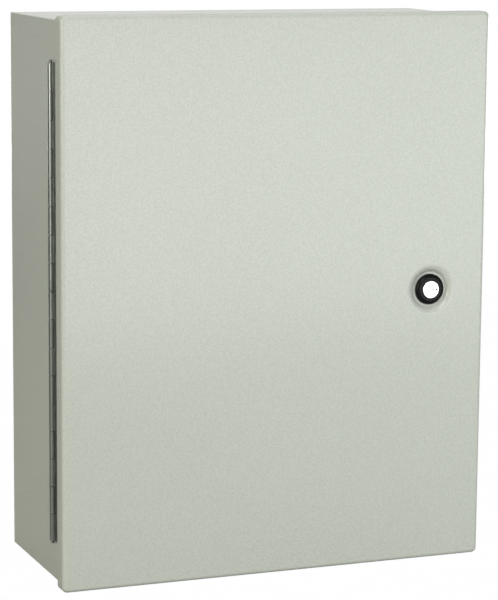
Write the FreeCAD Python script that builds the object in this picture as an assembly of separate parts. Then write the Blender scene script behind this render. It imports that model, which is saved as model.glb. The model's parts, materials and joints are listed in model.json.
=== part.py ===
"""Wall-hung fire alarm control panel: a steel cabinet with a hinged blind door and its equipment.

All sizes are in millimetres.  The origin is the centre of the cabinet's back face.
+X is to the right as seen from the front, +Y goes into the wall, so the front faces -Y, and +Z is up.
Each node is written to parts/NODE.step.
"""
import FreeCAD, Part
import math
import os

V = FreeCAD.Vector

# ---------------------------------------------------------------- driving dimensions: cabinet
BODY_WIDTH = 407.0          # outside, along X
BODY_HEIGHT = 506.0         # outside, along Z
BODY_DEPTH = 165.0          # back face to the front of the lip
BODY_SHEET = 1.5
BODY_BEND = 2.5             # outside radius where the back folds into the walls
BODY_SEAM = 1.0             # ground welded seams along the depth
LIP_WIDTH = 18.0            # inward lip round the front opening
LIP_CORNER = 6.0
WALL_HOLE_R = 4.25          # wall-fixing holes in the back
WALL_HOLE_INSET_X = 25.7    # from the outer face of the side wall
WALL_HOLE_INSET_Z = 24.4

# ---------------------------------------------------------------- door, gasket
DOOR_OVERHANG_SIDE = 3.5
DOOR_OVERHANG_END = 4.75
DOOR_SHEET = 1.5
DOOR_RIM = 16.0             # front face to the rim's free edge
DOOR_BEND = 3.6             # outside radius of the folds
DOOR_CORNER = 5.0           # corner radius seen from the front
LIP_GAP = 3.5               # lip to the inside of the door
GASKET_WIDTH = 10.0
GASKET_INSET = 2.0          # from the outer face of the body
GASKET_CLEARANCE = 0.1

# ---------------------------------------------------------------- continuous hinge
KNUCKLE_PITCH = 25.4
KNUCKLE_COUNT = 17
KNUCKLE_GAP = 0.8
BARREL_R = 3.0
PIN_R = 1.4
PIN_CLEARANCE = 0.05
PIN_TIP = 2.2
LEAF_THICKNESS = 0.9
BARREL_WALL_GAP = 0.3       # barrel to the side wall
HINGE_SETBACK = 14.0        # pin axis behind the rim's free edge
LEAF_NOTCH = 1.2            # relief round the other leaf's knuckles

# ---------------------------------------------------------------- quarter-turn latch
LATCH_INSET = 54.5          # from the door's right edge
LATCH_Z = 0.0
RECESS_R = 24.0
RECESS_DEPTH = 5.0
RECESS_FLOOR_R = 15.5
RECESS_RIM_SHARE = 0.78     # part of the wall's curve that rolls over the rim
BEZEL_R = 14.5
BEZEL_HEIGHT = 4.5
BEZEL_SIDE = 0.9
HOUSING_R = 10.0            # threaded neck through the door
HOUSING_LENGTH = 9.0        # behind the recess floor's front face
DRIVER_R = 8.25
DRIVER_PROUD = 0.6
DRIVER_HEAD = 3.0
SHAFT_R = 5.5
RUNNING_CLEARANCE = 0.08
NUT_ACROSS = 26.0
NUT_HEIGHT = 4.0
CAM_WIDTH = 18.0
CAM_THICKNESS = 2.5
CAM_REACH = 44.0
CAM_STEP_START = 17.0       # radius where the cam steps forward
CAM_LIP_CLEARANCE = 0.6
SHANK_SIDE = 7.0

# ---------------------------------------------------------------- backplate
PLATE_MARGIN_X = 38.5       # cabinet's outer face to the plate's edge
PLATE_MARGIN_Z = 37.0
PLATE_SHEET = 2.0
PLATE_OFFSET = 12.0         # inner face of the back wall to the plate
PLATE_CORNER = 6.0
STUD_INSET = 12.0
STUD_R = 3.0
COLLAR_R = 6.0
STUD_LENGTH = 22.0
NUT_CLEARANCE = 0.1

# ---------------------------------------------------------------- main board
BOARD_WIDTH = 284.0
BOARD_HEIGHT = 205.0
BOARD_SHEET = 1.6
BOARD_TOP_MARGIN = 10.0     # below the plate's top edge
STANDOFF_HEIGHT = 12.0
STANDOFF_ACROSS = 7.0
BOARD_HOLE_R = 2.0
BOARD_HOLE_INSET = 8.0
TERMINAL_PITCH = 5.08
TERMINAL_WAYS = 8
TERMINAL_BLOCKS = 5         # in each of the two rows
TERMINAL_GAP = 6.0
TERMINAL_END_CLEARANCE = 1.0
TERMINAL_DEPTH = 11.0
TERMINAL_HEIGHT = 15.0
TERMINAL_EDGE = 3.0         # block to the board's edge
TERMINAL_MOUTH = 3.2        # square wire mouth
TERMINAL_SCREW_R = 1.7
PAN_HEAD_R = 3.2
RELAY_WIDTH = 21.0
RELAY_HEIGHT = 16.0
RELAY_STAND = 15.5          # above the board's face
RELAY_PITCH = 30.0
RELAY_COUNT = 4
CAN_R = 9.0
CAN_STAND = 30.0
CAN_PITCH = 24.0
CAN_COUNT = 3
PROCESSOR_SIDE = 24.0
MEMORY_WIDTH = 20.0
MEMORY_HEIGHT = 12.0
DRIVER_CHIP_WIDTH = 16.0
DRIVER_CHIP_HEIGHT = 7.0
DRIVER_CHIP_PITCH = 26.0
DRIVER_CHIP_COUNT = 5
FUSE_R = 2.6
FUSE_LENGTH = 20.0
FUSE_CAP = 5.2
FUSE_PITCH = 15.0
FUSE_COUNT = 3
FUSE_CLIP = 5.0
SINK_STAND = 26.0
SINK_LENGTH = 34.0
SINK_DEPTH = 11.0
FIN_PITCH = 6.4
FIN_COUNT = 6
FIN_THICKNESS = 2.0
SOUNDER_R = 11.0
SOUNDER_STAND = 9.0
HEADER_LENGTH = 50.8
HEADER_HEIGHT = 9.0

# ---------------------------------------------------------------- operator module
PANEL_WIDTH = 214.0
PANEL_HEIGHT = 122.0
PANEL_SHEET = 2.0
PANEL_GAP = 34.0            # main board to display board
DISPLAY_BOARD_INSET = 6.0
PANEL_BOARD_GAP = 9.0       # display board to the front plate
SCREEN_WIDTH = 98.0
SCREEN_HEIGHT = 40.0
SCREEN_FRAME = 5.0
BUTTON_WIDTH = 30.0
BUTTON_HEIGHT = 12.0
BUTTON_PROUD = 2.5
BUTTON_TRAVEL = 1.0
BUTTON_CLEARANCE = 0.3
BUTTON_COUNT = 4
BUTTON_PITCH = 45.0
LAMP_R = 2.5

# ---------------------------------------------------------------- transformer and batteries
CORE_WIDTH = 84.0
CORE_HEIGHT = 70.0
CORE_STACK = 32.0
COIL_CLEARANCE = 0.3
COIL_PROUD = 12.0           # coil beyond the core, front and back
CLAMP_SHEET = 1.5
CLAMP_FOOT = 14.0
CLAMP_HALF = 16.0           # half its height
BATTERY_LENGTH = 151.0
BATTERY_DEPTH = 65.0
BATTERY_HEIGHT = 94.0
BATTERY_GAP = 4.0
BATTERY_LID = 12.0
BATTERY_BACK = 25.0         # back face of the cabinet to the batteries
TRAY_SHEET = 1.5
TRAY_LIP = 22.0
TRAY_CLEARANCE = 1.0
TRAY_EAR = 16.0
LEAD_R = 1.5
TRANSFORMER_LEAD_R = 0.9

# ---------------------------------------------------------------- cable entries in the bottom
BUSHING_HOLE_R = 11.1
BUSHING_BORE_R = 8.0
BUSHING_FLANGE = 2.0
BUSHING_PITCH = 66.0
BUSHING_COUNT = 3
GLAND_SHEET = 2.0
GLAND_LAP = 9.0             # plate beyond the cut-out
GLAND_CUT_HALF_W = 92.0
GLAND_CUT_HALF_D = 20.0
GLAND_CUT_CORNER = 4.0
GLAND_SCREW_R = 1.6
GLAND_FORWARD = 121.0       # middle of the cut-out, in front of the back face

# ---------------------------------------------------------------- places worked out from the sizes
HALF_W = BODY_WIDTH / 2
HALF_H = BODY_HEIGHT / 2
DOOR_HALF_W = HALF_W + DOOR_OVERHANG_SIDE
DOOR_HALF_H = HALF_H + DOOR_OVERHANG_END
LIP_Y = -BODY_DEPTH
DOOR_INNER_Y = LIP_Y - LIP_GAP
DOOR_Y = DOOR_INNER_Y - DOOR_SHEET
FLOOR_Z = -HALF_H + BODY_SHEET

HINGE_X = -(HALF_W + BARREL_WALL_GAP + BARREL_R)
HINGE_Y = DOOR_Y + DOOR_RIM + HINGE_SETBACK
HINGE_TOP = KNUCKLE_COUNT * KNUCKLE_PITCH / 2

LATCH_X = DOOR_HALF_W - LATCH_INSET
RECESS_Y = DOOR_Y + RECESS_DEPTH
RECESS_BACK_Y = RECESS_Y + DOOR_SHEET

PLATE_HALF_W = HALF_W - PLATE_MARGIN_X
PLATE_HALF_H = HALF_H - PLATE_MARGIN_Z
PLATE_BACK_Y = -BODY_SHEET - PLATE_OFFSET
PLATE_Y = PLATE_BACK_Y - PLATE_SHEET
STUD_X = PLATE_HALF_W - STUD_INSET
STUD_Z = PLATE_HALF_H - STUD_INSET

BOARD_BACK_Y = PLATE_Y - STANDOFF_HEIGHT
BOARD_Y = BOARD_BACK_Y - BOARD_SHEET
BOARD_TOP = PLATE_HALF_H - BOARD_TOP_MARGIN
BOARD_BOTTOM = BOARD_TOP - BOARD_HEIGHT
BOARD_MID_Z = (BOARD_TOP + BOARD_BOTTOM) / 2

DISPLAY_BACK_Y = BOARD_Y - PANEL_GAP
DISPLAY_Y = DISPLAY_BACK_Y - BOARD_SHEET
PANEL_BACK_Y = DISPLAY_Y - PANEL_BOARD_GAP
PANEL_Y = PANEL_BACK_Y - PANEL_SHEET
BUTTON_Z = BOARD_MID_Z - PANEL_HEIGHT / 2 + 24.0
SCREEN_Z = BOARD_MID_Z + 22.0
SCREEN_X = -38.0
LAMP_X = SCREEN_X + SCREEN_WIDTH / 2 + 22.0

TRAY_TOP_Z = FLOOR_Z + TRAY_SHEET
BATTERY_TOP_Z = TRAY_TOP_Z + BATTERY_HEIGHT
BATTERY_Y = -BATTERY_BACK - BATTERY_DEPTH
TAB_HEIGHT = 6.0
TAB_HALF_W = 3.15
TAB_HALF_T = 0.4
TAB_INSET_X = 10.0
TAB_INSET_Y = 8.0
TRANSFORMER_X = PLATE_HALF_W - 22.0 - CORE_WIDTH / 2
TRANSFORMER_Z = BOARD_BOTTOM - 22.0 - CORE_HEIGHT / 2
CORE_BACK_Y = PLATE_Y - 14.0
CORE_FRONT_Y = CORE_BACK_Y - CORE_STACK
MAINS_PITCH = 12.0
MAINS_X = TRANSFORMER_X - CORE_WIDTH / 2 - 50.0
MAINS_SEAT_Y = PLATE_Y - 7.0


# ---------------------------------------------------------------- helpers
def box(x0, x1, y0, y1, z0, z1):
    """A block between two corners."""
    return Part.makeBox(x1 - x0, y1 - y0, z1 - z0, V(x0, y0, z0))


def span_x(xa, xb, y0, y1, z0, z1):
    """A block whose two X limits may come in either order."""
    return box(min(xa, xb), max(xa, xb), y0, y1, z0, z1)


def rod_y(x, z, radius, y0, y1):
    """A cylinder along Y."""
    return Part.makeCylinder(radius, y1 - y0, V(x, y0, z), V(0, 1, 0))


def rod_z(x, y, radius, z0, z1):
    """A cylinder along Z."""
    return Part.makeCylinder(radius, z1 - z0, V(x, y, z0), V(0, 0, 1))


def edges_along(shape, direction):
    """The straight edges of a shape that run along a direction."""
    found = []
    for edge in shape.Edges:
        if edge.Curve.TypeId == "Part::GeomLine" and abs(abs(edge.Curve.Direction.dot(direction)) - 1) < 1e-6:
            found.append(edge)
    return found


def edges_at_y(shape, y):
    """The edges of a shape that lie in the plane at y."""
    return [e for e in shape.Edges if abs(e.BoundBox.YMin - y) < 1e-6 and abs(e.BoundBox.YMax - y) < 1e-6]


def edges_at_z(shape, z):
    """The edges of a shape that lie in the plane at z."""
    return [e for e in shape.Edges if abs(e.BoundBox.ZMin - z) < 1e-6 and abs(e.BoundBox.ZMax - z) < 1e-6]


def slab(half_w, half_h, y0, y1, corner, centre_x=0.0, centre_z=0.0):
    """A flat piece facing -Y with round corners."""
    plain = box(centre_x - half_w, centre_x + half_w, y0, y1, centre_z - half_h, centre_z + half_h)
    return plain.makeFillet(corner, edges_along(plain, V(0, 1, 0)))


def folded_block(half_w, half_h, y0, y1, corner, fold, fold_y):
    """A slab whose outline at fold_y is rounded as a fold is."""
    block = slab(half_w, half_h, y0, y1, corner)
    return block.makeFillet(fold, edges_at_y(block, fold_y))


def hexagon(x, z, across, y0, y1):
    """A hexagonal prism along Y, given by its size across the flats."""
    radius = across / math.sqrt(3)
    corners = [V(x + radius * math.cos(math.radians(60 * k)), y0, z + radius * math.sin(math.radians(60 * k)))
               for k in range(7)]
    return Part.Face(Part.makePolygon(corners)).extrude(V(0, y1 - y0, 0))


def prism(points, offset):
    """A closed polygon pulled along an offset."""
    return Part.Face(Part.makePolygon(points + [points[0]])).extrude(offset)


def turned(profile_edges, x, z):
    """A profile drawn at y and radius, turned about the axis through x and z along Y."""
    face = Part.Face(Part.Wire(profile_edges))
    return face.revolve(V(x, 0, z), V(0, 1, 0), 360)


def fuse(shapes):
    """One solid from several that overlap or touch."""
    first = shapes[0]
    return first.fuse(shapes[1:]).removeSplitter() if len(shapes) > 1 else first


def save(name, *shapes):
    """Write one node: a solid, or a group of separate solids."""
    shape = shapes[0] if len(shapes) == 1 else Part.makeCompound(list(shapes))
    solids = shape.Solids
    if not solids or not shape.isValid():
        raise ValueError(name + " is not a valid solid")
    shape.exportStep("parts/" + name + ".step")
    print("%-22s %3d solid(s) %12.1f mm3" % (name, len(solids), sum(s.Volume for s in solids)))


# ---------------------------------------------------------------- cabinet
def bushing_places():
    """Where the cable bushings sit in the gland plate."""
    first = -(BUSHING_COUNT - 1) / 2
    return [((first + k) * BUSHING_PITCH, -GLAND_FORWARD) for k in range(BUSHING_COUNT)]


def gland_screw_places():
    """The gland plate's screws, in its lap at the left and right."""
    x = GLAND_CUT_HALF_W + GLAND_LAP / 2
    return [(sx * x, -GLAND_FORWARD + sy * GLAND_CUT_HALF_D * 0.7) for sx in (-1, 1) for sy in (-1, 1)]


def make_cabinet():
    """Five-sided box with wall holes and a cable cut-out in the bottom, and the lip round its front."""
    t = BODY_SHEET
    outer = folded_block(HALF_W, HALF_H, LIP_Y, 0, BODY_SEAM, BODY_BEND, 0)
    cavity = box(-HALF_W + t, HALF_W - t, LIP_Y - 1, -t, -HALF_H + t, HALF_H - t)
    holes = [cavity]
    for sx in (-1, 1):
        for sz in (-1, 1):
            x = sx * (HALF_W - WALL_HOLE_INSET_X)
            z = sz * (HALF_H - WALL_HOLE_INSET_Z)
            holes.append(rod_y(x, z, WALL_HOLE_R, -t - 1, 1))
    cut = box(-GLAND_CUT_HALF_W, GLAND_CUT_HALF_W, -GLAND_FORWARD - GLAND_CUT_HALF_D,
              -GLAND_FORWARD + GLAND_CUT_HALF_D, -HALF_H - 1, FLOOR_Z + 1)
    holes.append(cut.makeFillet(GLAND_CUT_CORNER, edges_along(cut, V(0, 0, 1))))
    for x, y in gland_screw_places():
        holes.append(rod_z(x, y, GLAND_SCREW_R + 0.1, -HALF_H - 1, FLOOR_Z + 1))
    save("cabinet_body", outer.cut(holes))
    lip = box(-HALF_W + t, HALF_W - t, LIP_Y, LIP_Y + t, -HALF_H + t, HALF_H - t)
    mouth = slab(HALF_W - LIP_WIDTH, HALF_H - LIP_WIDTH, LIP_Y - 1, LIP_Y + t + 1, LIP_CORNER)
    save("cabinet_lip", lip.cut(mouth))


def make_bushing(x, y, top):
    """A snap-in bushing: flange under the plate, neck in its hole, barb above it."""
    bottom = top - GLAND_SHEET
    under = bottom - BUSHING_FLANGE
    flange = rod_z(x, y, BUSHING_HOLE_R + 3.0, under, bottom)
    flange = flange.makeFillet(0.8, edges_at_z(flange, under))
    neck = rod_z(x, y, BUSHING_HOLE_R - 0.1, bottom, top)
    barb = rod_z(x, y, BUSHING_HOLE_R + 0.7, top, top + 1.8)
    bore = rod_z(x, y, BUSHING_BORE_R, under - 1, top)
    relief = rod_z(x, y, BUSHING_BORE_R + 1.4, top, top + 2)
    return fuse([flange, neck, barb]).cut([bore, relief])


def make_gland_screw(x, y, seat):
    """A cross-recessed screw put in from below."""
    under = seat - 2.0
    head = rod_z(x, y, 3.2, under, seat)
    head = head.makeFillet(1.0, edges_at_z(head, under))
    shank = rod_z(x, y, GLAND_SCREW_R, seat - 0.5, FLOOR_Z + 2.0)
    cross = [box(x - 1.9, x + 1.9, y - 0.4, y + 0.4, under - 1, under + 1.1),
             box(x - 0.4, x + 0.4, y - 1.9, y + 1.9, under - 1, under + 1.1)]
    return fuse([head, shank]).cut(cross)


def make_gland_plate():
    """Plate screwed under the cut-out, and its bushings; returns the plate's screws."""
    top = -HALF_H
    bottom = top - GLAND_SHEET
    half_w = GLAND_CUT_HALF_W + GLAND_LAP
    half_d = GLAND_CUT_HALF_D + GLAND_LAP
    plate = box(-half_w, half_w, -GLAND_FORWARD - half_d, -GLAND_FORWARD + half_d, bottom, top)
    plate = plate.makeFillet(GLAND_CUT_CORNER, edges_along(plate, V(0, 0, 1)))
    holes = [rod_z(x, y, BUSHING_HOLE_R, bottom - 1, top + 1) for x, y in bushing_places()]
    holes += [rod_z(x, y, GLAND_SCREW_R + 0.2, bottom - 1, top + 1) for x, y in gland_screw_places()]
    save("gland_plate", plate.cut(holes))
    save("cable_bushings", *[make_bushing(x, y, top) for x, y in bushing_places()])
    return [make_gland_screw(x, y, bottom) for x, y in gland_screw_places()]


def make_earth_stud(name, x, z, y_root, direction):
    """A welded earth stud with its washer and nut as separate solids."""
    length = 16.0
    y_tip = y_root + direction * length
    stud = rod_y(x, z, 2.5, min(y_root, y_tip), max(y_root, y_tip))
    y_washer = y_root + direction * 5.0
    y_nut = y_root + direction * 6.0
    y_end = y_root + direction * 10.0
    bore = rod_y(x, z, 2.5 + NUT_CLEARANCE, -BODY_DEPTH * 2, BODY_DEPTH)
    washer = rod_y(x, z, 5.0, min(y_washer, y_nut), max(y_washer, y_nut)).cut(bore)
    nut = hexagon(x, z, 8.0, min(y_nut, y_end), max(y_nut, y_end)).cut(bore)
    save(name, stud, washer, nut)


# ---------------------------------------------------------------- door
def recess_arcs(thickness):
    """The recess's S-shaped wall as two tangent arcs, on the front face or one sheet behind it."""
    run = RECESS_R - RECESS_FLOOR_R
    turn = 2 * math.atan2(RECESS_DEPTH, run)
    rim_radius = RECESS_RIM_SHARE * run / math.sin(turn)
    floor_radius = (1 - RECESS_RIM_SHARE) * run / math.sin(turn)

    def arc(cx, cy, r, start, end):
        points = [V(LATCH_X + cx + r * math.sin(a), DOOR_Y + cy - r * math.cos(a), LATCH_Z)
                  for a in (start, (start + end) / 2, end)]
        return Part.Arc(*points).toShape()

    outer = arc(RECESS_R, rim_radius, rim_radius - thickness, 0, -turn)
    inner = arc(RECESS_FLOOR_R, RECESS_DEPTH - floor_radius, floor_radius + thickness,
                math.pi - turn, math.pi)
    return outer, inner


def recess_block(thickness, y_open):
    """The space in front of the recess's front or back surface, out to y_open."""
    outer, inner = recess_arcs(thickness)
    rim = outer.Vertexes[0].Point
    step_a = outer.Vertexes[-1].Point
    step_b = inner.Vertexes[0].Point
    floor = inner.Vertexes[-1].Point
    edges = [outer]
    if (step_a - step_b).Length > 1e-6:
        edges.append(Part.makeLine(step_a, step_b))
    edges += [inner,
              Part.makeLine(floor, V(LATCH_X, floor.y, LATCH_Z)),
              Part.makeLine(V(LATCH_X, floor.y, LATCH_Z), V(LATCH_X, y_open, LATCH_Z)),
              Part.makeLine(V(LATCH_X, y_open, LATCH_Z), V(rim.x, y_open, LATCH_Z)),
              Part.makeLine(V(rim.x, y_open, LATCH_Z), rim)]
    return turned(edges, LATCH_X, LATCH_Z)


def make_door():
    """Folded pan with a pressed latch recess."""
    t = DOOR_SHEET
    rim_y = DOOR_Y + DOOR_RIM
    outer = folded_block(DOOR_HALF_W, DOOR_HALF_H, DOOR_Y, rim_y, DOOR_CORNER, DOOR_BEND, DOOR_Y)
    inner = folded_block(DOOR_HALF_W - t, DOOR_HALF_H - t, DOOR_INNER_Y, rim_y + 1,
                         DOOR_CORNER - t, DOOR_BEND - t, DOOR_INNER_Y)
    boss = recess_block(t, DOOR_Y + t / 2)
    recess = recess_block(0, DOOR_Y - 1)
    pan = fuse([outer.cut(inner), boss]).cut(recess)
    save("door_panel", pan.cut(rod_y(LATCH_X, LATCH_Z, HOUSING_R + 0.1, RECESS_Y - 1, RECESS_BACK_Y + 1)))


def make_gasket():
    """Closed foam strip bonded inside the door, facing the lip."""
    y0 = DOOR_INNER_Y
    y1 = LIP_Y - GASKET_CLEARANCE
    half_w = HALF_W - GASKET_INSET
    half_h = HALF_H - GASKET_INSET
    outer = slab(half_w, half_h, y0, y1, 8.0)
    hole = slab(half_w - GASKET_WIDTH, half_h - GASKET_WIDTH, y0 - 1, y1 + 1, 3.0)
    strip = outer.cut(hole)
    save("door_gasket", strip.makeFillet(1.4, edges_at_y(strip, y1)))


# ---------------------------------------------------------------- hinge
def knuckle_span(index):
    """The bottom and top of one knuckle."""
    top = HINGE_TOP - index * KNUCKLE_PITCH - KNUCKLE_GAP / 2
    return top - KNUCKLE_PITCH + KNUCKLE_GAP, top


def make_leaf(name, x0, x1, y_front, indexes):
    """One hinge leaf: a strip in the gap between rim and wall, and its own knuckles."""
    y_strip = HINGE_Y - BARREL_R - LEAF_NOTCH
    pieces = [box(x0, x1, y_front, y_strip, -HINGE_TOP, HINGE_TOP)]
    for index in indexes:
        z0, z1 = knuckle_span(index)
        pieces.append(box(x0, x1, y_strip - 1, HINGE_Y, z0, z1))
        pieces.append(rod_z(HINGE_X, HINGE_Y, BARREL_R, z0, z1))
    bore = rod_z(HINGE_X, HINGE_Y, PIN_R + PIN_CLEARANCE, -HINGE_TOP - 1, HINGE_TOP + 1)
    save(name, fuse(pieces).cut(bore))


def make_hinge():
    """Both leaves and the pin."""
    front = DOOR_INNER_Y + DOOR_BEND
    rim_inside = -(DOOR_HALF_W - DOOR_SHEET)
    make_leaf("hinge_leaf_door", rim_inside, rim_inside + LEAF_THICKNESS, front, range(0, KNUCKLE_COUNT, 2))
    make_leaf("hinge_leaf_body", -HALF_W - LEAF_THICKNESS, -HALF_W, front + 2, range(1, KNUCKLE_COUNT, 2))
    pin = rod_z(HINGE_X, HINGE_Y, PIN_R, -HINGE_TOP - PIN_TIP, HINGE_TOP + PIN_TIP)
    save("hinge_pin", pin.makeChamfer(0.4, [e for e in pin.Edges if e.Curve.TypeId == "Part::GeomCircle"]))


# ---------------------------------------------------------------- latch
HOUSING_END_Y = RECESS_Y + HOUSING_LENGTH
SEAL_THICKNESS = 0.8
BEZEL_Y = RECESS_Y - BEZEL_HEIGHT
DRIVER_Y = BEZEL_Y - DRIVER_PROUD
CAM_BACK_Y = HOUSING_END_Y + 0.4 + CAM_THICKNESS


def make_latch_housing():
    """Black bezel ring with a domed face and a threaded neck, bored for the driver."""
    side_y = RECESS_Y - SEAL_THICKNESS - BEZEL_SIDE
    flat_r = DRIVER_R + 1.6
    bore_r = DRIVER_R + RUNNING_CLEARANCE
    neck_r = SHAFT_R + RUNNING_CLEARANCE

    def point(r, y):
        return V(LATCH_X + r, y, LATCH_Z)

    bend = math.radians(40)
    middle = point(flat_r + (BEZEL_R - flat_r) * math.sin(bend),
                   side_y - (side_y - BEZEL_Y) * math.cos(bend))
    dome = Part.Arc(point(flat_r, BEZEL_Y), middle, point(BEZEL_R, side_y)).toShape()
    seat = RECESS_Y - SEAL_THICKNESS
    profile = [dome,
               Part.makeLine(point(BEZEL_R, side_y), point(BEZEL_R, seat)),
               Part.makeLine(point(BEZEL_R, seat), point(HOUSING_R, seat)),
               Part.makeLine(point(HOUSING_R, seat), point(HOUSING_R, HOUSING_END_Y)),
               Part.makeLine(point(HOUSING_R, HOUSING_END_Y), point(neck_r, HOUSING_END_Y)),
               Part.makeLine(point(neck_r, HOUSING_END_Y), point(neck_r, BEZEL_Y + DRIVER_HEAD)),
               Part.makeLine(point(neck_r, BEZEL_Y + DRIVER_HEAD), point(bore_r, BEZEL_Y + DRIVER_HEAD)),
               Part.makeLine(point(bore_r, BEZEL_Y + DRIVER_HEAD), point(bore_r, BEZEL_Y)),
               Part.makeLine(point(bore_r, BEZEL_Y), point(flat_r, BEZEL_Y))]
    save("latch_housing", turned(profile, LATCH_X, LATCH_Z))
    seal = rod_y(LATCH_X, LATCH_Z, BEZEL_R - 0.6, seat, RECESS_Y)
    save("latch_seal", seal.cut(rod_y(LATCH_X, LATCH_Z, HOUSING_R + 0.1, seat - 1, RECESS_Y + 1)))
    nut = hexagon(LATCH_X, LATCH_Z, NUT_ACROSS, RECESS_BACK_Y, RECESS_BACK_Y + NUT_HEIGHT)
    save("latch_nut", nut.cut(rod_y(LATCH_X, LATCH_Z, HOUSING_R + NUT_CLEARANCE, RECESS_Y, HOUSING_END_Y)))


def make_latch_driver():
    """Bright driver with a screwdriver slot, an arrow mark and a square shank for the cam."""
    head_back = BEZEL_Y + DRIVER_HEAD - RUNNING_CLEARANCE
    head = rod_y(LATCH_X, LATCH_Z, DRIVER_R, DRIVER_Y, head_back)
    head = head.makeFillet(0.5, edges_at_y(head, DRIVER_Y))
    shaft = rod_y(LATCH_X, LATCH_Z, SHAFT_R, head_back - 1, HOUSING_END_Y + 0.4)
    half = SHANK_SIDE / 2
    shank = box(LATCH_X - half, LATCH_X + half, HOUSING_END_Y, CAM_BACK_Y + 0.4,
                LATCH_Z - half, LATCH_Z + half)
    slot = box(LATCH_X - 6.4, LATCH_X + 3.4, DRIVER_Y - 1, DRIVER_Y + 1.4, LATCH_Z - 0.8, LATCH_Z + 0.8)
    arrow = prism([V(LATCH_X + 4.2, DRIVER_Y - 1, LATCH_Z + 1.5), V(LATCH_X + 7.1, DRIVER_Y - 1, LATCH_Z),
                   V(LATCH_X + 4.2, DRIVER_Y - 1, LATCH_Z - 1.5), V(LATCH_X + 4.9, DRIVER_Y - 1, LATCH_Z)],
                  V(0, 1.7, 0))
    screw_hole = rod_y(LATCH_X, LATCH_Z, 2.0, HOUSING_END_Y - 7, CAM_BACK_Y + 2)
    save("latch_driver", fuse([head, shaft, shank]).cut([slot, arrow, screw_hole]))


def make_latch_cam():
    """Stepped cam, standing up at rest; turned a quarter clockwise it lies behind the lip."""
    half = CAM_WIDTH / 2
    root_y = CAM_BACK_Y - CAM_THICKNESS
    tip_y = LIP_Y + BODY_SHEET + CAM_LIP_CLEARANCE
    step_end = CAM_STEP_START + (root_y - tip_y)
    start = LATCH_Z - half
    outline = [V(0, root_y, start), V(0, root_y, LATCH_Z + CAM_STEP_START), V(0, tip_y, LATCH_Z + step_end),
               V(0, tip_y, LATCH_Z + CAM_REACH), V(0, tip_y + CAM_THICKNESS, LATCH_Z + CAM_REACH),
               V(0, tip_y + CAM_THICKNESS, LATCH_Z + step_end + 1.0),
               V(0, CAM_BACK_Y, LATCH_Z + CAM_STEP_START + 1.0), V(0, CAM_BACK_Y, start)]
    for corner in outline:
        corner.x = LATCH_X - half
    cam = prism(outline, V(CAM_WIDTH, 0, 0))
    ends = [e for e in edges_along(cam, V(0, 1, 0))
            if e.BoundBox.ZMax < start + 1 or e.BoundBox.ZMin > LATCH_Z + CAM_REACH - 1]
    cam = cam.makeFillet(5.0, ends)
    side = SHANK_SIDE / 2 + 0.05
    hole = box(LATCH_X - side, LATCH_X + side, tip_y, CAM_BACK_Y + 1, LATCH_Z - side, LATCH_Z + side)
    save("latch_cam", cam.cut(hole))
    washer_y = CAM_BACK_Y + 0.4
    washer = rod_y(LATCH_X, LATCH_Z, 7.0, washer_y, washer_y + 1.2)
    washer = washer.cut(rod_y(LATCH_X, LATCH_Z, 2.2, washer_y - 1, washer_y + 2))
    head_y = washer_y + 1.2
    screw = fuse([hexagon(LATCH_X, LATCH_Z, 7.0, head_y, head_y + 2.8),
                  rod_y(LATCH_X, LATCH_Z, 1.9, HOUSING_END_Y - 6, head_y + 0.5)])
    save("cam_screw", screw, washer)


# ---------------------------------------------------------------- backplate
def corner_places(half_x, half_z, centre_z=0.0):
    """The four corners of a rectangle."""
    return [(sx * half_x, centre_z + sz * half_z) for sx in (-1, 1) for sz in (-1, 1)]


def make_backplate():
    """Equipment plate on four welded collar studs."""
    studs = []
    nuts = []
    nut_height = 5.0
    for x, z in corner_places(STUD_X, STUD_Z):
        collar = rod_y(x, z, COLLAR_R, PLATE_BACK_Y, -BODY_SHEET)
        thread = rod_y(x, z, STUD_R, -BODY_SHEET - STUD_LENGTH, -BODY_SHEET)
        studs.append(fuse([collar, thread]))
        nut = fuse([rod_y(x, z, 6.5, PLATE_Y - 1.0, PLATE_Y),
                    hexagon(x, z, 10.0, PLATE_Y - nut_height, PLATE_Y)])
        nuts.append(nut.cut(rod_y(x, z, STUD_R + NUT_CLEARANCE, PLATE_Y - nut_height - 1, PLATE_Y + 1)))
    save("panel_studs", *studs)
    save("panel_nuts", *nuts)
    plate = slab(PLATE_HALF_W, PLATE_HALF_H, PLATE_Y, PLATE_BACK_Y, PLATE_CORNER)
    holes = []
    for x, z in corner_places(STUD_X, STUD_Z):
        holes.append(rod_y(x, z, STUD_R + 0.5, PLATE_Y - 1, PLATE_BACK_Y + 1))
    save("backplate", plate.cut(holes))


# ---------------------------------------------------------------- main board
def board_hole_places():
    """Fixing holes of the main board: corners and the middles of the long edges."""
    half_x = BOARD_WIDTH / 2 - BOARD_HOLE_INSET
    half_z = BOARD_HEIGHT / 2 - BOARD_HOLE_INSET
    return corner_places(half_x, half_z, BOARD_MID_Z)


def panel_post_places():
    """Where the operator module's long standoffs stand on the main board."""
    return corner_places(PANEL_WIDTH / 2 - 12.0, PANEL_HEIGHT / 2 - 12.0, BOARD_MID_Z)


def pan_screw(x, z, y_seat, thread_r, head_r, depth):
    """Pan-head screw with a cross recess; its head stands in front of y_seat."""
    head_height = head_r * 0.62
    head = rod_y(x, z, head_r, y_seat - head_height, y_seat)
    head = head.makeFillet(head_height * 0.6, edges_at_y(head, y_seat - head_height))
    thread = rod_y(x, z, thread_r, y_seat - 0.2, y_seat + depth)
    arm = head_r * 0.6
    width = head_r * 0.12
    y0 = y_seat - head_height - 1
    y1 = y_seat - head_height * 0.35
    cross = [box(x - arm, x + arm, y0, y1, z - width, z + width),
             box(x - width, x + width, y0, y1, z - arm, z + arm)]
    return fuse([head, thread]).cut(cross)


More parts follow.
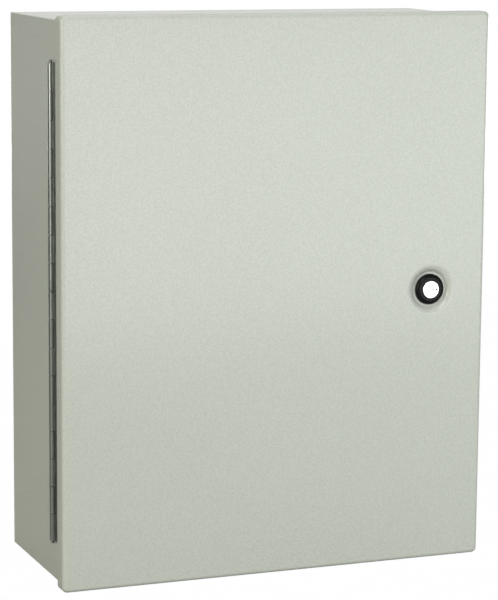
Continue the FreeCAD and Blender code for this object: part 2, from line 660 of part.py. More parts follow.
def make_main_board():
    """Board; returns its standoffs and screws."""
    board = slab(BOARD_WIDTH / 2, BOARD_HEIGHT / 2, BOARD_Y, BOARD_BACK_Y, 2.0, 0, BOARD_MID_Z)
    places = board_hole_places()
    holes = []
    for x, z in places + panel_post_places():
        holes.append(rod_y(x, z, BOARD_HOLE_R, BOARD_Y - 1, BOARD_BACK_Y + 1))
    save("main_board", board.cut(holes))
    thread_r = BOARD_HOLE_R - 0.4
    posts = []
    screws = []
    for x, z in places:
        post = hexagon(x, z, STANDOFF_ACROSS, BOARD_BACK_Y, PLATE_Y)
        posts.append(post.cut(rod_y(x, z, thread_r, BOARD_BACK_Y - 1, BOARD_BACK_Y + 8)))
        screws.append(pan_screw(x, z, BOARD_Y, thread_r, PAN_HEAD_R, 7.0))
    return posts, screws


def terminal_block(x0, z0, upward):
    """One plug-in terminal block: wire mouths on the outer side, screw wells in front."""
    length = TERMINAL_WAYS * TERMINAL_PITCH
    y0 = BOARD_Y - TERMINAL_HEIGHT
    z1 = z0 + TERMINAL_DEPTH
    body = box(x0, x0 + length, y0, BOARD_Y, z0, z1)
    step = 3.0
    low, high = (z0 - 1, z0 + step) if upward else (z1 - step, z1 + 1)
    cuts = [box(x0 - 1, x0 + length + 1, y0 - 1, y0 + 5, low, high)]
    low, high = (z1 - 5, z1 + 1) if upward else (z0 - 1, z0 + 5)
    half = TERMINAL_MOUTH / 2
    for way in range(TERMINAL_WAYS):
        x = x0 + (way + 0.5) * TERMINAL_PITCH
        cuts.append(box(x - half, x + half, y0 + 7, y0 + 11, low, high))
        cuts.append(rod_y(x, terminal_screw_z(z0, upward), TERMINAL_SCREW_R + 0.1, y0 - 1, y0 + 4))
    return body.cut(cuts)


def terminal_screw_z(z0, upward):
    """Height of a block's row of clamp screws."""
    return z0 + (TERMINAL_DEPTH - 3.6 if upward else 3.6)


def terminal_gap():
    """Gap between blocks, closed up where the row would run into the board's corner screws."""
    ends = BOARD_HOLE_INSET + PAN_HEAD_R + TERMINAL_END_CLEARANCE
    spare = BOARD_WIDTH - 2 * ends - TERMINAL_BLOCKS * TERMINAL_WAYS * TERMINAL_PITCH
    return min(TERMINAL_GAP, spare / (TERMINAL_BLOCKS - 1))


def terminal_rows():
    """Start and side of every terminal block: a row along the top edge, a row along the bottom."""
    gap = terminal_gap()
    pitch = TERMINAL_WAYS * TERMINAL_PITCH + gap
    first = -(TERMINAL_BLOCKS * pitch - gap) / 2
    top_z = BOARD_TOP - TERMINAL_EDGE - TERMINAL_DEPTH
    bottom_z = BOARD_BOTTOM + TERMINAL_EDGE
    rows = [(first + k * pitch, top_z, True) for k in range(TERMINAL_BLOCKS)]
    return rows + [(first + k * pitch, bottom_z, False) for k in range(TERMINAL_BLOCKS)]


def make_terminals():
    """Terminal blocks and their clamp screws."""
    save("terminal_blocks", *[terminal_block(*row) for row in terminal_rows()])
    screws = []
    y0 = BOARD_Y - TERMINAL_HEIGHT + 1.2
    for x0, z0, upward in terminal_rows():
        for way in range(TERMINAL_WAYS):
            x = x0 + (way + 0.5) * TERMINAL_PITCH
            z = terminal_screw_z(z0, upward)
            screw = rod_y(x, z, TERMINAL_SCREW_R, y0, y0 + 2.4)
            screws.append(screw.cut(box(x - 2, x + 2, y0 - 1, y0 + 0.8, z - 0.3, z + 0.3)))
    save("terminal_screws", *screws)


def chip(x, z, width, height, thickness):
    """A flat part soldered on the main board."""
    body = box(x - width / 2, x + width / 2, BOARD_Y - thickness, BOARD_Y, z - height / 2, z + height / 2)
    return body.makeChamfer(0.3, edges_at_y(body, BOARD_Y - thickness))


def make_board_parts():
    """Relays, chips, capacitors, fuses, heatsink, transistors, header and sounder."""
    edge_x = BOARD_WIDTH / 2
    relays = []
    for k in range(RELAY_COUNT):
        z = BOARD_MID_Z - 48.0 + k * RELAY_PITCH
        relays.append(chip(edge_x - 18.0, z, RELAY_WIDTH, RELAY_HEIGHT, RELAY_STAND))
    save("relays", *relays)
    chip_x = -edge_x + 86.0
    chips = [chip(chip_x, BOARD_MID_Z + 20.0, PROCESSOR_SIDE, PROCESSOR_SIDE, 2.4),
             chip(chip_x, BOARD_MID_Z - 22.0, MEMORY_WIDTH, MEMORY_HEIGHT, 2.6)]
    for k in range(DRIVER_CHIP_COUNT):
        for z in (BOARD_BOTTOM + 26.0, BOARD_TOP - 26.0):
            x = -20.0 + k * DRIVER_CHIP_PITCH
            chips.append(chip(x, z, DRIVER_CHIP_WIDTH, DRIVER_CHIP_HEIGHT, 2.2))
    chips += make_heatsink(-edge_x + 14.0, BOARD_BOTTOM + 40.0)
    save("circuit_chips", *chips)
    cans = []
    for k in range(CAN_COUNT):
        z = BOARD_MID_Z + 30.0 - k * CAN_PITCH
        can = rod_y(-edge_x + 16.0, z, CAN_R, BOARD_Y - CAN_STAND, BOARD_Y)
        cans.append(can.makeFillet(1.0, edges_at_y(can, BOARD_Y - CAN_STAND)))
    save("capacitors", *cans)
    make_fuses(-edge_x + 36.0, BOARD_BOTTOM + 24.0)
    make_header()
    make_sounder(edge_x - 20.0, BOARD_MID_Z + 70.0)


def make_sounder(x, z):
    """Round sounder with a small hole in its front."""
    front = BOARD_Y - SOUNDER_STAND
    sounder = rod_y(x, z, SOUNDER_R, front, BOARD_Y)
    sounder = sounder.makeFillet(1.2, edges_at_y(sounder, front))
    save("sounder", sounder.cut(rod_y(x, z, 1.5, front - 1, front + 3)))


def fuse_clip(x, fuse_y, z):
    """One spring clip: a block on the board with a round seat and an open mouth."""
    clip = box(x - 3.8, x + 3.8, fuse_y - 2.0, BOARD_Y, z, z + FUSE_CLIP)
    seat = rod_z(x, fuse_y, FUSE_R + 0.05, z - 1, z + FUSE_CLIP + 1)
    mouth = box(x - 2.0, x + 2.0, fuse_y - 3.0, fuse_y, z - 1, z + FUSE_CLIP + 1)
    return clip.cut([seat, mouth])


def make_fuses(x_first, z):
    """Glass fuses, each in a pair of spring clips."""
    fuse_y = BOARD_Y - 6.0
    clips = []
    tubes = []
    for k in range(FUSE_COUNT):
        x = x_first + k * FUSE_PITCH
        clips += [fuse_clip(x, fuse_y, z), fuse_clip(x, fuse_y, z + FUSE_LENGTH - FUSE_CLIP)]
        low = z + FUSE_CAP
        high = z + FUSE_LENGTH - FUSE_CAP
        outside = rod_z(x, fuse_y, FUSE_R + 1, low, high)
        glass = rod_z(x, fuse_y, FUSE_R - 0.25, low, high)
        tubes.append(rod_z(x, fuse_y, FUSE_R, z, z + FUSE_LENGTH).cut(outside.cut(glass)))
    save("fuse_clips", *clips)
    save("fuses", *tubes)


def make_heatsink(x, z):
    """Finned heatsink; returns the two power transistors on its inner face."""
    front = BOARD_Y - SINK_STAND
    base = box(x - FIN_THICKNESS, x, front, BOARD_Y, z, z + SINK_LENGTH)
    fins = []
    for k in range(FIN_COUNT):
        low = z + k * FIN_PITCH
        fins.append(box(x - SINK_DEPTH, x - 1.5, front, BOARD_Y, low, low + FIN_THICKNESS))
    save("heatsink", fuse([base] + fins))
    return [box(x, x + 4.5, BOARD_Y - 20.0, BOARD_Y - 4.5, low, low + 10.0) for low in (z + 4.0, z + 20.0)]


def make_header():
    """Pin header that joins the main board to the display board."""
    z = BOARD_MID_Z
    half = HEADER_LENGTH / 2
    half_z = HEADER_HEIGHT / 2
    socket = box(-half, half, DISPLAY_BACK_Y, BOARD_Y, z - half_z, z + half_z)
    waists = []
    for low, high in ((z - half_z - 1.5, z - 2.0), (z + 2.0, z + half_z + 1.5)):
        waists.append(box(-half + 3, half - 3, DISPLAY_BACK_Y + 9, BOARD_Y - 9, low, high))
    save("board_header", socket.cut(waists))


# ---------------------------------------------------------------- operator module
def button_places():
    """Name and place of each operator button, left to right."""
    names = ("acknowledge", "silence", "drill", "reset")
    first = -(BUTTON_COUNT - 1) * BUTTON_PITCH / 2
    return [(names[k], first + k * BUTTON_PITCH) for k in range(BUTTON_COUNT)]


def lamp_places():
    """Height of each lamp, top to bottom: power, alarm, then three trouble lamps."""
    return [SCREEN_Z + 20.0 - k * 10.0 for k in range(5)]


def make_operator_module():
    """Display board and front plate; returns the long standoffs and the screws."""
    posts = []
    screws = []
    thread_r = BOARD_HOLE_R - 0.4
    for x, z in panel_post_places():
        lower = hexagon(x, z, STANDOFF_ACROSS, DISPLAY_BACK_Y, BOARD_Y)
        stud = rod_y(x, z, thread_r, BOARD_Y - 0.5, BOARD_BACK_Y + 3.0)
        upper = hexagon(x, z, STANDOFF_ACROSS, PANEL_BACK_Y, DISPLAY_Y)
        pillar = rod_y(x, z, thread_r, DISPLAY_Y - 0.5, DISPLAY_BACK_Y + 0.5)
        post = fuse([lower, stud, upper, pillar])
        posts.append(post.cut(rod_y(x, z, thread_r - 0.3, PANEL_BACK_Y - 1, PANEL_BACK_Y + 6)))
        screws.append(pan_screw(x, z, PANEL_Y, thread_r - 0.3, PAN_HEAD_R, PANEL_SHEET + 5.0))
    half_w = PANEL_WIDTH / 2
    half_h = PANEL_HEIGHT / 2
    inset = DISPLAY_BOARD_INSET
    board = slab(half_w - inset, half_h - inset, DISPLAY_Y, DISPLAY_BACK_Y, 2.0, 0, BOARD_MID_Z)
    holes = [rod_y(x, z, BOARD_HOLE_R, DISPLAY_Y - 1, DISPLAY_BACK_Y + 1) for x, z in panel_post_places()]
    save("display_board", board.cut(holes))
    plate = slab(half_w, half_h, PANEL_Y, PANEL_BACK_Y, 5.0, 0, BOARD_MID_Z)
    plate = plate.makeFillet(0.8, edges_at_y(plate, PANEL_Y))
    cuts = []
    for x, z in panel_post_places():
        cuts.append(rod_y(x, z, BOARD_HOLE_R - 0.4, PANEL_Y - 1, PANEL_BACK_Y + 1))
    cuts.append(slab(SCREEN_WIDTH / 2 + 0.2, SCREEN_HEIGHT / 2 + 0.2, PANEL_Y - 1, PANEL_BACK_Y + 1, 1.5,
                     SCREEN_X, SCREEN_Z))
    for z in lamp_places():
        cuts.append(rod_y(LAMP_X, z, LAMP_R + 0.15, PANEL_Y - 1, PANEL_BACK_Y + 1))
    for _, x in button_places():
        cuts.append(slab(BUTTON_WIDTH / 2 + BUTTON_CLEARANCE, BUTTON_HEIGHT / 2 + BUTTON_CLEARANCE,
                         PANEL_Y - 1, PANEL_BACK_Y + 1, 2.0 + BUTTON_CLEARANCE, x, BUTTON_Z))
    save("operator_plate", plate.cut(cuts))
    return posts, screws


def make_display():
    """Display module behind the plate: frame and glass."""
    half_w = SCREEN_WIDTH / 2
    half_h = SCREEN_HEIGHT / 2
    frame = slab(half_w + SCREEN_FRAME, half_h + SCREEN_FRAME, PANEL_BACK_Y, DISPLAY_Y, 2.0,
                 SCREEN_X, SCREEN_Z)
    glass_y = PANEL_Y + 0.5
    seat = slab(half_w - 1.0, half_h - 1.0, PANEL_BACK_Y - 1, PANEL_BACK_Y + 2.0, 1.0, SCREEN_X, SCREEN_Z)
    save("display_frame", frame.cut(seat))
    glass = slab(half_w, half_h, glass_y, PANEL_BACK_Y, 1.3, SCREEN_X, SCREEN_Z)
    save("display_glass", glass.makeChamfer(0.3, edges_at_y(glass, glass_y)))


def make_lamps():
    """Lamps: a short dome through the plate on a body that stands on the display board."""
    names = {0: "power_lamp", 1: "alarm_lamp"}
    trouble = []
    for k, z in enumerate(lamp_places()):
        stem = rod_y(LAMP_X, z, LAMP_R, PANEL_Y - 0.4, DISPLAY_Y)
        dome = Part.makeSphere(LAMP_R, V(LAMP_X, PANEL_Y - 0.4, z))
        half = box(LAMP_X - 5, LAMP_X + 5, PANEL_Y - 6, PANEL_Y - 0.4, z - 5, z + 5)
        collar = rod_y(LAMP_X, z, LAMP_R + 0.5, DISPLAY_Y - 1.0, DISPLAY_Y)
        lamp = fuse([stem, dome.common(half), collar])
        if k in names:
            save(names[k], lamp)
        else:
            trouble.append(lamp)
    save("trouble_lamps", *trouble)


def make_buttons():
    """Each button is a cap with a skirt behind the plate; a switch on the display board is under it."""
    switches = []
    top_y = PANEL_Y - BUTTON_PROUD
    skirt_y = PANEL_BACK_Y + 0.2
    foot_y = skirt_y + 2.0
    switch_y = foot_y + BUTTON_TRAVEL + 0.3
    for name, x in button_places():
        cap = slab(BUTTON_WIDTH / 2, BUTTON_HEIGHT / 2, top_y, foot_y, 2.0, x, BUTTON_Z)
        cap = cap.makeFillet(1.0, edges_at_y(cap, top_y))
        skirt = slab(BUTTON_WIDTH / 2 + 1.5, BUTTON_HEIGHT / 2 + 1.5, skirt_y, foot_y, 2.0, x, BUTTON_Z)
        save("button_" + name, fuse([cap, skirt]))
        body = box(x - 3.1, x + 3.1, switch_y + 1.0, DISPLAY_Y, BUTTON_Z - 3.1, BUTTON_Z + 3.1)
        plunger = rod_y(x, BUTTON_Z, 1.7, switch_y, switch_y + 1.5)
        switches.append(fuse([body, plunger]))
    save("button_switches", *switches)


# ---------------------------------------------------------------- transformer and mains terminals
def make_transformer():
    """Laminated core in a steel clamp with feet, and a wound coil; returns the clamp's screws."""
    x = TRANSFORMER_X
    z = TRANSFORMER_Z
    leg = CORE_WIDTH / 6
    y_back = CORE_BACK_Y
    y_front = CORE_FRONT_Y
    half_w = CORE_WIDTH / 2
    half_h = CORE_HEIGHT / 2
    core = box(x - half_w, x + half_w, y_front, y_back, z - half_h, z + half_h)
    window_z = half_h - leg
    windows = []
    for middle in (x - 2 * leg, x + 2 * leg):
        windows.append(box(middle - leg, middle + leg, y_front - 1, y_back + 1, z - window_z, z + window_z))
    save("transformer_core", core.cut(windows))
    clearance = COIL_CLEARANCE
    reach = 2 * leg + leg - clearance
    coil = slab(reach, window_z - clearance, y_front - COIL_PROUD, y_back + COIL_PROUD, 5.0, x, z)
    limb = box(x - leg - clearance, x + leg + clearance, y_front - clearance, y_back + clearance,
               z - CORE_HEIGHT, z + CORE_HEIGHT)
    save("transformer_coil", coil.cut(limb))
    seat = PLATE_Y - CLAMP_SHEET
    brackets = []
    screws = []
    for side in (-1, 1):
        inner = x + side * half_w
        hole_x = inner + side * (CLAMP_FOOT / 2 + 0.5)
        upright = span_x(inner, inner + side * CLAMP_SHEET, y_front, PLATE_Y, z - CLAMP_HALF, z + CLAMP_HALF)
        foot = span_x(inner, inner + side * CLAMP_FOOT, seat, PLATE_Y, z - CLAMP_HALF, z + CLAMP_HALF)
        brackets.append(fuse([upright, foot]).cut(rod_y(hole_x, z, 2.2, seat - 1, PLATE_Y + 1)))
        screws.append(pan_screw(hole_x, z, seat, 2.0, 3.8, CLAMP_SHEET))
    save("transformer_clamp", *brackets)
    return screws


def make_mains_terminal():
    """Three-pole barrier strip for the supply, left of the transformer."""
    x = MAINS_X
    z = TRANSFORMER_Z
    half = 1.5 * MAINS_PITCH + 6.0
    front = PLATE_Y - 14.0
    body = box(x - half, x + half, front, PLATE_Y, z - 11.0, z + 11.0)
    cuts = [rod_y(x + s * (half - 3.0), z, 1.8, front - 1, PLATE_Y + 1) for s in (-1, 1)]
    screws = []
    for k in (-1, 0, 1):
        xc = x + k * MAINS_PITCH
        for low, high, screw_z in ((z + 1.0, z + 12.0, z + 5.2), (z - 12.0, z - 1.0, z - 5.2)):
            cuts.append(box(xc - 4.6, xc + 4.6, front - 1, MAINS_SEAT_Y, low, high))
            cuts.append(rod_y(xc, screw_z, 1.5, MAINS_SEAT_Y - 1, MAINS_SEAT_Y + 2.1))
            screws.append(pan_screw(xc, screw_z, MAINS_SEAT_Y, 1.5, 3.2, 2.0))
    save("mains_terminal", body.cut(cuts))
    save("mains_screws", *screws)


# ---------------------------------------------------------------- batteries
def battery_centres():
    """Middle of each battery along X."""
    half = (BATTERY_LENGTH + BATTERY_GAP) / 2
    return (-half, half)


def tab_places():
    """Where the four battery tabs stand: left plus, left minus, right plus, right minus."""
    y = BATTERY_Y + TAB_INSET_Y
    places = []
    for centre in battery_centres():
        for s in (-1, 1):
            places.append((centre + s * (BATTERY_LENGTH / 2 - TAB_INSET_X), y))
    return places


def make_batteries():
    """Two sealed batteries: case, lid and tabs, standing in a tray."""
    split_z = BATTERY_TOP_Z - BATTERY_LID
    y0 = BATTERY_Y
    y1 = -BATTERY_BACK
    half = BATTERY_LENGTH / 2
    cases = []
    lids = []
    for x in battery_centres():
        case = box(x - half, x + half, y0, y1, TRAY_TOP_Z, split_z)
        cases.append(case.makeFillet(2.0, edges_along(case, V(0, 0, 1))))
        lid = box(x - half, x + half, y0, y1, split_z, BATTERY_TOP_Z)
        lid = lid.makeFillet(2.0, edges_along(lid, V(0, 0, 1)))
        lid = lid.makeChamfer(1.0, [e for e in lid.Edges if e.BoundBox.ZMin > BATTERY_TOP_Z - 1e-6])
        panel = box(x - half + 22, x + half - 22, y0 + 6, y1 - 6, BATTERY_TOP_Z - 1.5, BATTERY_TOP_Z + 1)
        lids.append(lid.cut(panel))
    save("battery_cases", *cases)
    save("battery_lids", *lids)
    tabs = []
    for x, y in tab_places():
        tabs.append(box(x - TAB_HALF_W, x + TAB_HALF_W, y - TAB_HALF_T, y + TAB_HALF_T,
                        BATTERY_TOP_Z, BATTERY_TOP_Z + TAB_HEIGHT))
    save("battery_tabs", *tabs)


def make_battery_tray():
    """Folded tray on the cabinet floor with a lip all round and two ears; returns its screws."""
    t = TRAY_SHEET
    c = TRAY_CLEARANCE
    half = BATTERY_LENGTH + BATTERY_GAP / 2 + c
    y0 = BATTERY_Y - c
    y1 = -BATTERY_BACK + c
    outside = box(-half - t, half + t, y0 - t, y1 + t, FLOOR_Z, FLOOR_Z + TRAY_LIP)
    inside = box(-half, half, y0, y1, FLOOR_Z + t, FLOOR_Z + TRAY_LIP + 1)
    pieces = [outside.cut(inside)]
    holes = []
    screws = []
    y = (y0 + y1) / 2
    seat = FLOOR_Z + t
    for side in (-1, 1):
        x = side * (half + t + TRAY_EAR / 2)
        pieces.append(span_x(side * (half + t / 2), x + side * TRAY_EAR / 2,
                             y - TRAY_EAR / 2, y + TRAY_EAR / 2, FLOOR_Z, seat))
        holes.append(rod_z(x, y, 2.0, FLOOR_Z - 1, seat + 1))
        screw = fuse([rod_z(x, y, 3.5, seat, seat + 2.4), rod_z(x, y, 1.9, FLOOR_Z, seat + 1)])
        screws.append(screw.cut(box(x - 2.4, x + 2.4, y - 0.4, y + 0.4, seat + 1.2, seat + 3)))
    save("battery_tray", fuse(pieces).cut(holes))
    return screws


# ---------------------------------------------------------------- battery leads
BOOT_HEIGHT = 16.0
PLUG_PITCH = 8.0
PLUG_Y = BOARD_Y - 9.0
PLUG_BOTTOM = BOARD_BOTTOM - 12.0
BATTERY_PLUG_X = -BOARD_WIDTH / 2 + 28.0
TRANSFORMER_PLUG_X = MAINS_X + 32.0


def lead_tube(name, points, radius):
    """A round lead along straight runs joined by tangent arcs, each as large as its runs allow."""
    path = []
    radii = []
    last = points[0]
    for before, corner, after in zip(points, points[1:], points[2:]):
        back = before - corner
        ahead = after - corner
        turn = math.pi - back.getAngle(ahead)
        reach = 0.45 * min(back.Length, ahead.Length)
        radii.append(reach / math.tan(turn / 2))
        back.normalize()
        ahead.normalize()
        start = corner + back * reach
        end = corner + ahead * reach
        inward = back + ahead
        inward.normalize()
        centre_distance = radii[-1] / math.cos(turn / 2)
        middle = corner + inward * (centre_distance - radii[-1])
        path.append(Part.LineSegment(last, start).toShape())
        path.append(Part.Arc(start, middle, end).toShape())
        last = end
    path.append(Part.LineSegment(last, points[-1]).toShape())
    wire = Part.Wire(path)
    section = Part.Wire([Part.Circle(points[0], points[1] - points[0], radius).toShape()])
    tube = wire.makePipeShell([section], True, False)
    expected = math.pi * radius ** 2 * wire.Length
    print("%s: length %.1f, radii %s, volume ratio %.4f"
          % (name, wire.Length, [round(r, 1) for r in radii], tube.Volume / expected))
    return tube


def board_plug(x):
    """A two-way plug under the main board's lower edge."""
    plug = box(x - 9.0, x + 9.0, PLUG_Y - 4.0, PLUG_Y + 4.0, PLUG_BOTTOM, PLUG_BOTTOM + 11.5)
    return plug.makeFillet(1.0, edges_along(plug, V(0, 0, 1)))


def make_lead_connectors():
    """Boots on the battery tabs, and the battery's and transformer's plugs."""
    boots = []
    for x, y in tab_places():
        boot = box(x - 4.5, x + 4.5, y - 3.0, y + 3.0, BATTERY_TOP_Z + 0.5, BATTERY_TOP_Z + BOOT_HEIGHT)
        tab = box(x - TAB_HALF_W - 0.05, x + TAB_HALF_W + 0.05, y - TAB_HALF_T - 0.05, y + TAB_HALF_T + 0.05,
                  BATTERY_TOP_Z, BATTERY_TOP_Z + TAB_HEIGHT + 0.2)
        boots.append(boot.makeFillet(1.2, edges_along(boot, V(0, 0, 1))).cut(tab))
    save("lead_connectors", board_plug(BATTERY_PLUG_X), board_plug(TRANSFORMER_PLUG_X), *boots)


def make_battery_leads():
    """Red and black leads from the battery tabs to the board's plug, and the jumper."""
    places = tab_places()
    top = BATTERY_TOP_Z + BOOT_HEIGHT
    red_x, red_y = places[0]
    red_end = BATTERY_PLUG_X - PLUG_PITCH / 2
    red = [V(red_x, red_y, top), V(red_x, red_y, top + 26), V(red_x + 4, red_y + 12, top + 60),
           V(red_end, PLUG_Y - 14, PLUG_BOTTOM - 52), V(red_end, PLUG_Y, PLUG_BOTTOM - 20),
           V(red_end, PLUG_Y, PLUG_BOTTOM)]
    save("lead_red", lead_tube("lead_red", red, LEAD_R))
    black_x, black_y = places[3]
    black_end = BATTERY_PLUG_X + PLUG_PITCH / 2
    black = [V(black_x, black_y, top), V(black_x, black_y, top + 18), V(black_x - 24, black_y - 2, top + 36),
             V(black_x - 72, black_y - 4, top + 30), V(black_x - 128, black_y, top + 22),
             V(black_x - 186, black_y + 8, top + 30), V(black_end + 16, PLUG_Y - 14, PLUG_BOTTOM - 44),
             V(black_end, PLUG_Y, PLUG_BOTTOM - 22), V(black_end, PLUG_Y, PLUG_BOTTOM)]
    save("lead_black", lead_tube("lead_black", black, LEAD_R))
    from_x, from_y = places[1]
    to_x = places[2][0]
    middle = (from_x + to_x) / 2
    shoulder = top + 13.5
    jumper = [V(from_x, from_y, top), V(from_x, from_y, shoulder), V(middle, from_y, shoulder + 7),
              V(to_x, from_y, shoulder), V(to_x, from_y, top)]
    save("lead_jumper", lead_tube("lead_jumper", jumper, LEAD_R))


def make_transformer_leads():
    """Two supply leads from the mains terminal to the coil, and two from the coil to the board's plug."""
    coil_x = TRANSFORMER_X - CORE_WIDTH / 2 + COIL_CLEARANCE
    exit_y = CORE_FRONT_Y - 6.0
    end_y = MAINS_SEAT_Y - 2.2
    tubes = []
    for k in (0, 1):
        z = TRANSFORMER_Z - 4.0 - 7.0 * k
        end_x = MAINS_X + MAINS_PITCH * (1 - k)
        end_z = TRANSFORMER_Z + 8.6
        supply = [V(coil_x, exit_y, z), V(coil_x - 11, exit_y, z),
                  V(end_x + 16, exit_y + 8, z + 15 + 5 * k),
                  V(end_x + 6, exit_y + 24, end_z + 22), V(end_x, end_y - 5, end_z + 29),
                  V(end_x, end_y, end_z + 14), V(end_x, end_y, end_z)]
        tubes.append(lead_tube("supply lead", supply, TRANSFORMER_LEAD_R))
    for k in (0, 1):
        z = TRANSFORMER_Z + 13.0 - 7.0 * k
        x = TRANSFORMER_PLUG_X + PLUG_PITCH * (0.5 - k)
        low_voltage = [V(coil_x, exit_y, z), V(coil_x - 12, exit_y, z),
                       V(x + 2, exit_y + 5, PLUG_BOTTOM - 20 - 2 * k), V(x, PLUG_Y - 9, PLUG_BOTTOM - 15),
                       V(x, PLUG_Y, PLUG_BOTTOM - 10), V(x, PLUG_Y, PLUG_BOTTOM)]
        tubes.append(lead_tube("low-voltage lead", low_voltage, TRANSFORMER_LEAD_R))
    save("transformer_leads", *tubes)


# ---------------------------------------------------------------- build
def main():
    """Build every node."""
    os.makedirs("parts", exist_ok=True)
    make_cabinet()
    chassis_screws = make_gland_plate()
    make_earth_stud("earth_stud_body", -HALF_W + 22.0, -STUD_Z, -BODY_SHEET, -1)
    make_backplate()
    make_hinge()
    make_door()
    make_gasket()
    make_earth_stud("earth_stud_door", -DOOR_HALF_W + 46.0, -STUD_Z, DOOR_INNER_Y, 1)
    make_latch_housing()
    make_latch_driver()
    make_latch_cam()
    standoffs, board_screws = make_main_board()
    make_terminals()
    make_board_parts()
    posts, panel_screws = make_operator_module()
    save("board_standoffs", *standoffs, *posts)
    save("board_screws", *board_screws, *panel_screws)
    make_display()
    make_lamps()
    make_buttons()
    chassis_screws += make_transformer()
    make_mains_terminal()
    chassis_screws += make_battery_tray()
    save("chassis_screws", *chassis_screws)
    make_batteries()
    make_lead_connectors()
    make_battery_leads()
    make_transformer_leads()


main()
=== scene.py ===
"""Looks, detail pieces and studio for a wall-hung fire alarm control panel.

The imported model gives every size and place, in metres.  +X is to the right as seen from the front,
the front faces -Y, +Z is up, and the origin is the centre of the cabinet's back face.
"""

import json
import logging
import math
import random
from dataclasses import dataclass
from enum import Enum

import bmesh
import bpy
from mathutils import Matrix, Vector


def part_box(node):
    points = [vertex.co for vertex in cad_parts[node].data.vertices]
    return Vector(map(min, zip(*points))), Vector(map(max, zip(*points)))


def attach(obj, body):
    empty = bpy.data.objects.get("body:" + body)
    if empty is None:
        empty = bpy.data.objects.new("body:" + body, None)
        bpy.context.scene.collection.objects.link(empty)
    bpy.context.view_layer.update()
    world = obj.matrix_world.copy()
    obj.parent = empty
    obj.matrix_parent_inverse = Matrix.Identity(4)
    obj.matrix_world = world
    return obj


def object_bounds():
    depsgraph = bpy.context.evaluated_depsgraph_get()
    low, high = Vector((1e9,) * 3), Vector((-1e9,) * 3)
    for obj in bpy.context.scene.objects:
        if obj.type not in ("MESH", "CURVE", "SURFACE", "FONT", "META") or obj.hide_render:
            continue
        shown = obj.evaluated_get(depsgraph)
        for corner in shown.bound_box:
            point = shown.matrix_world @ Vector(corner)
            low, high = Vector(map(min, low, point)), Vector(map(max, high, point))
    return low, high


logging.basicConfig(level=logging.INFO, format="%(message)s")
LOG = logging.getLogger("panel")
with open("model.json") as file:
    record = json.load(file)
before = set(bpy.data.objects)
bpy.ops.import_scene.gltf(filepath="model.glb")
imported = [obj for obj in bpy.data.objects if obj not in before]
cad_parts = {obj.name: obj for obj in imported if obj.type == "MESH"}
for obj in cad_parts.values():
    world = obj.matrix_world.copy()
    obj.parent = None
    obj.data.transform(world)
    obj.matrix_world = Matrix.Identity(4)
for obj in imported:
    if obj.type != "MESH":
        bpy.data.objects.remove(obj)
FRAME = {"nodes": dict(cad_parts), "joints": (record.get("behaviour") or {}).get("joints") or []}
CAD_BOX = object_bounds()

MM = 0.001
Colour = tuple[float, float, float]
Point = tuple[float, float, float]
Outline = list[tuple[float, float]]


class Axis(Enum):
    """One of the object's axes, with its direction."""

    X = (1.0, 0.0, 0.0)
    Y = (0.0, 1.0, 0.0)
    Z = (0.0, 0.0, 1.0)

    def point(self, radius: float, along: float) -> Point:
        """A point of an outline that is turned round this axis.

        Args:
            radius: Its distance from the axis.
            along: Its distance along the axis.

        Returns:
            The point.
        """
        across = Axis.Y if self is Axis.X else Axis.X
        return tuple(Vector(across.value) * radius + Vector(self.value) * along)


# ---------------------------------------------------------------- shader building
# Where a Mix node keeps its factor and its two colours, and the mixed colour.
MIX_INPUTS = (0, 6, 7)
MIX_RESULT = 2
# Flat coordinates for a pattern seen from the front: the depth of the surface doesn't change it.
FACE_ON = (1.0, 0.0, 1.0)


class Wire:
    """A value in a material's node tree; arithmetic on it adds Math nodes."""

    def __init__(self, surface: "Surface", socket: bpy.types.NodeSocket) -> None:
        """Keeps the material being made and the socket that carries the value."""
        self.surface = surface
        self.socket = socket

    def __add__(self, other: "Wire | float") -> "Wire":
        """Sum."""
        return self.surface.math("ADD", self, other)

    __radd__ = __add__

    def __mul__(self, other: "Wire | float") -> "Wire":
        """Product."""
        return self.surface.math("MULTIPLY", self, other)

    __rmul__ = __mul__

    def sine(self) -> "Wire":
        """Sine of an angle, lifted and halved so that it goes from 0 to 1."""
        return self.surface.math("SINE", self) * 0.5 + 0.5

    def larger(self, other: "Wire") -> "Wire":
        """The larger of two values."""
        return self.surface.math("MAXIMUM", self, other)

    def step(self, low: float, high: float) -> "Wire":
        """Smooth step from 0 at low to 1 at high.

        Args:
            low: Value that gives 0.
            high: Value that gives 1, which may be under low for a falling step.

        Returns:
            The step.
        """
        inputs = {"Value": self, "From Min": low, "From Max": high}
        node = self.surface.node("ShaderNodeMapRange", {"interpolation_type": "SMOOTHSTEP"}, inputs)
        return Wire(self.surface, node.outputs["Result"])


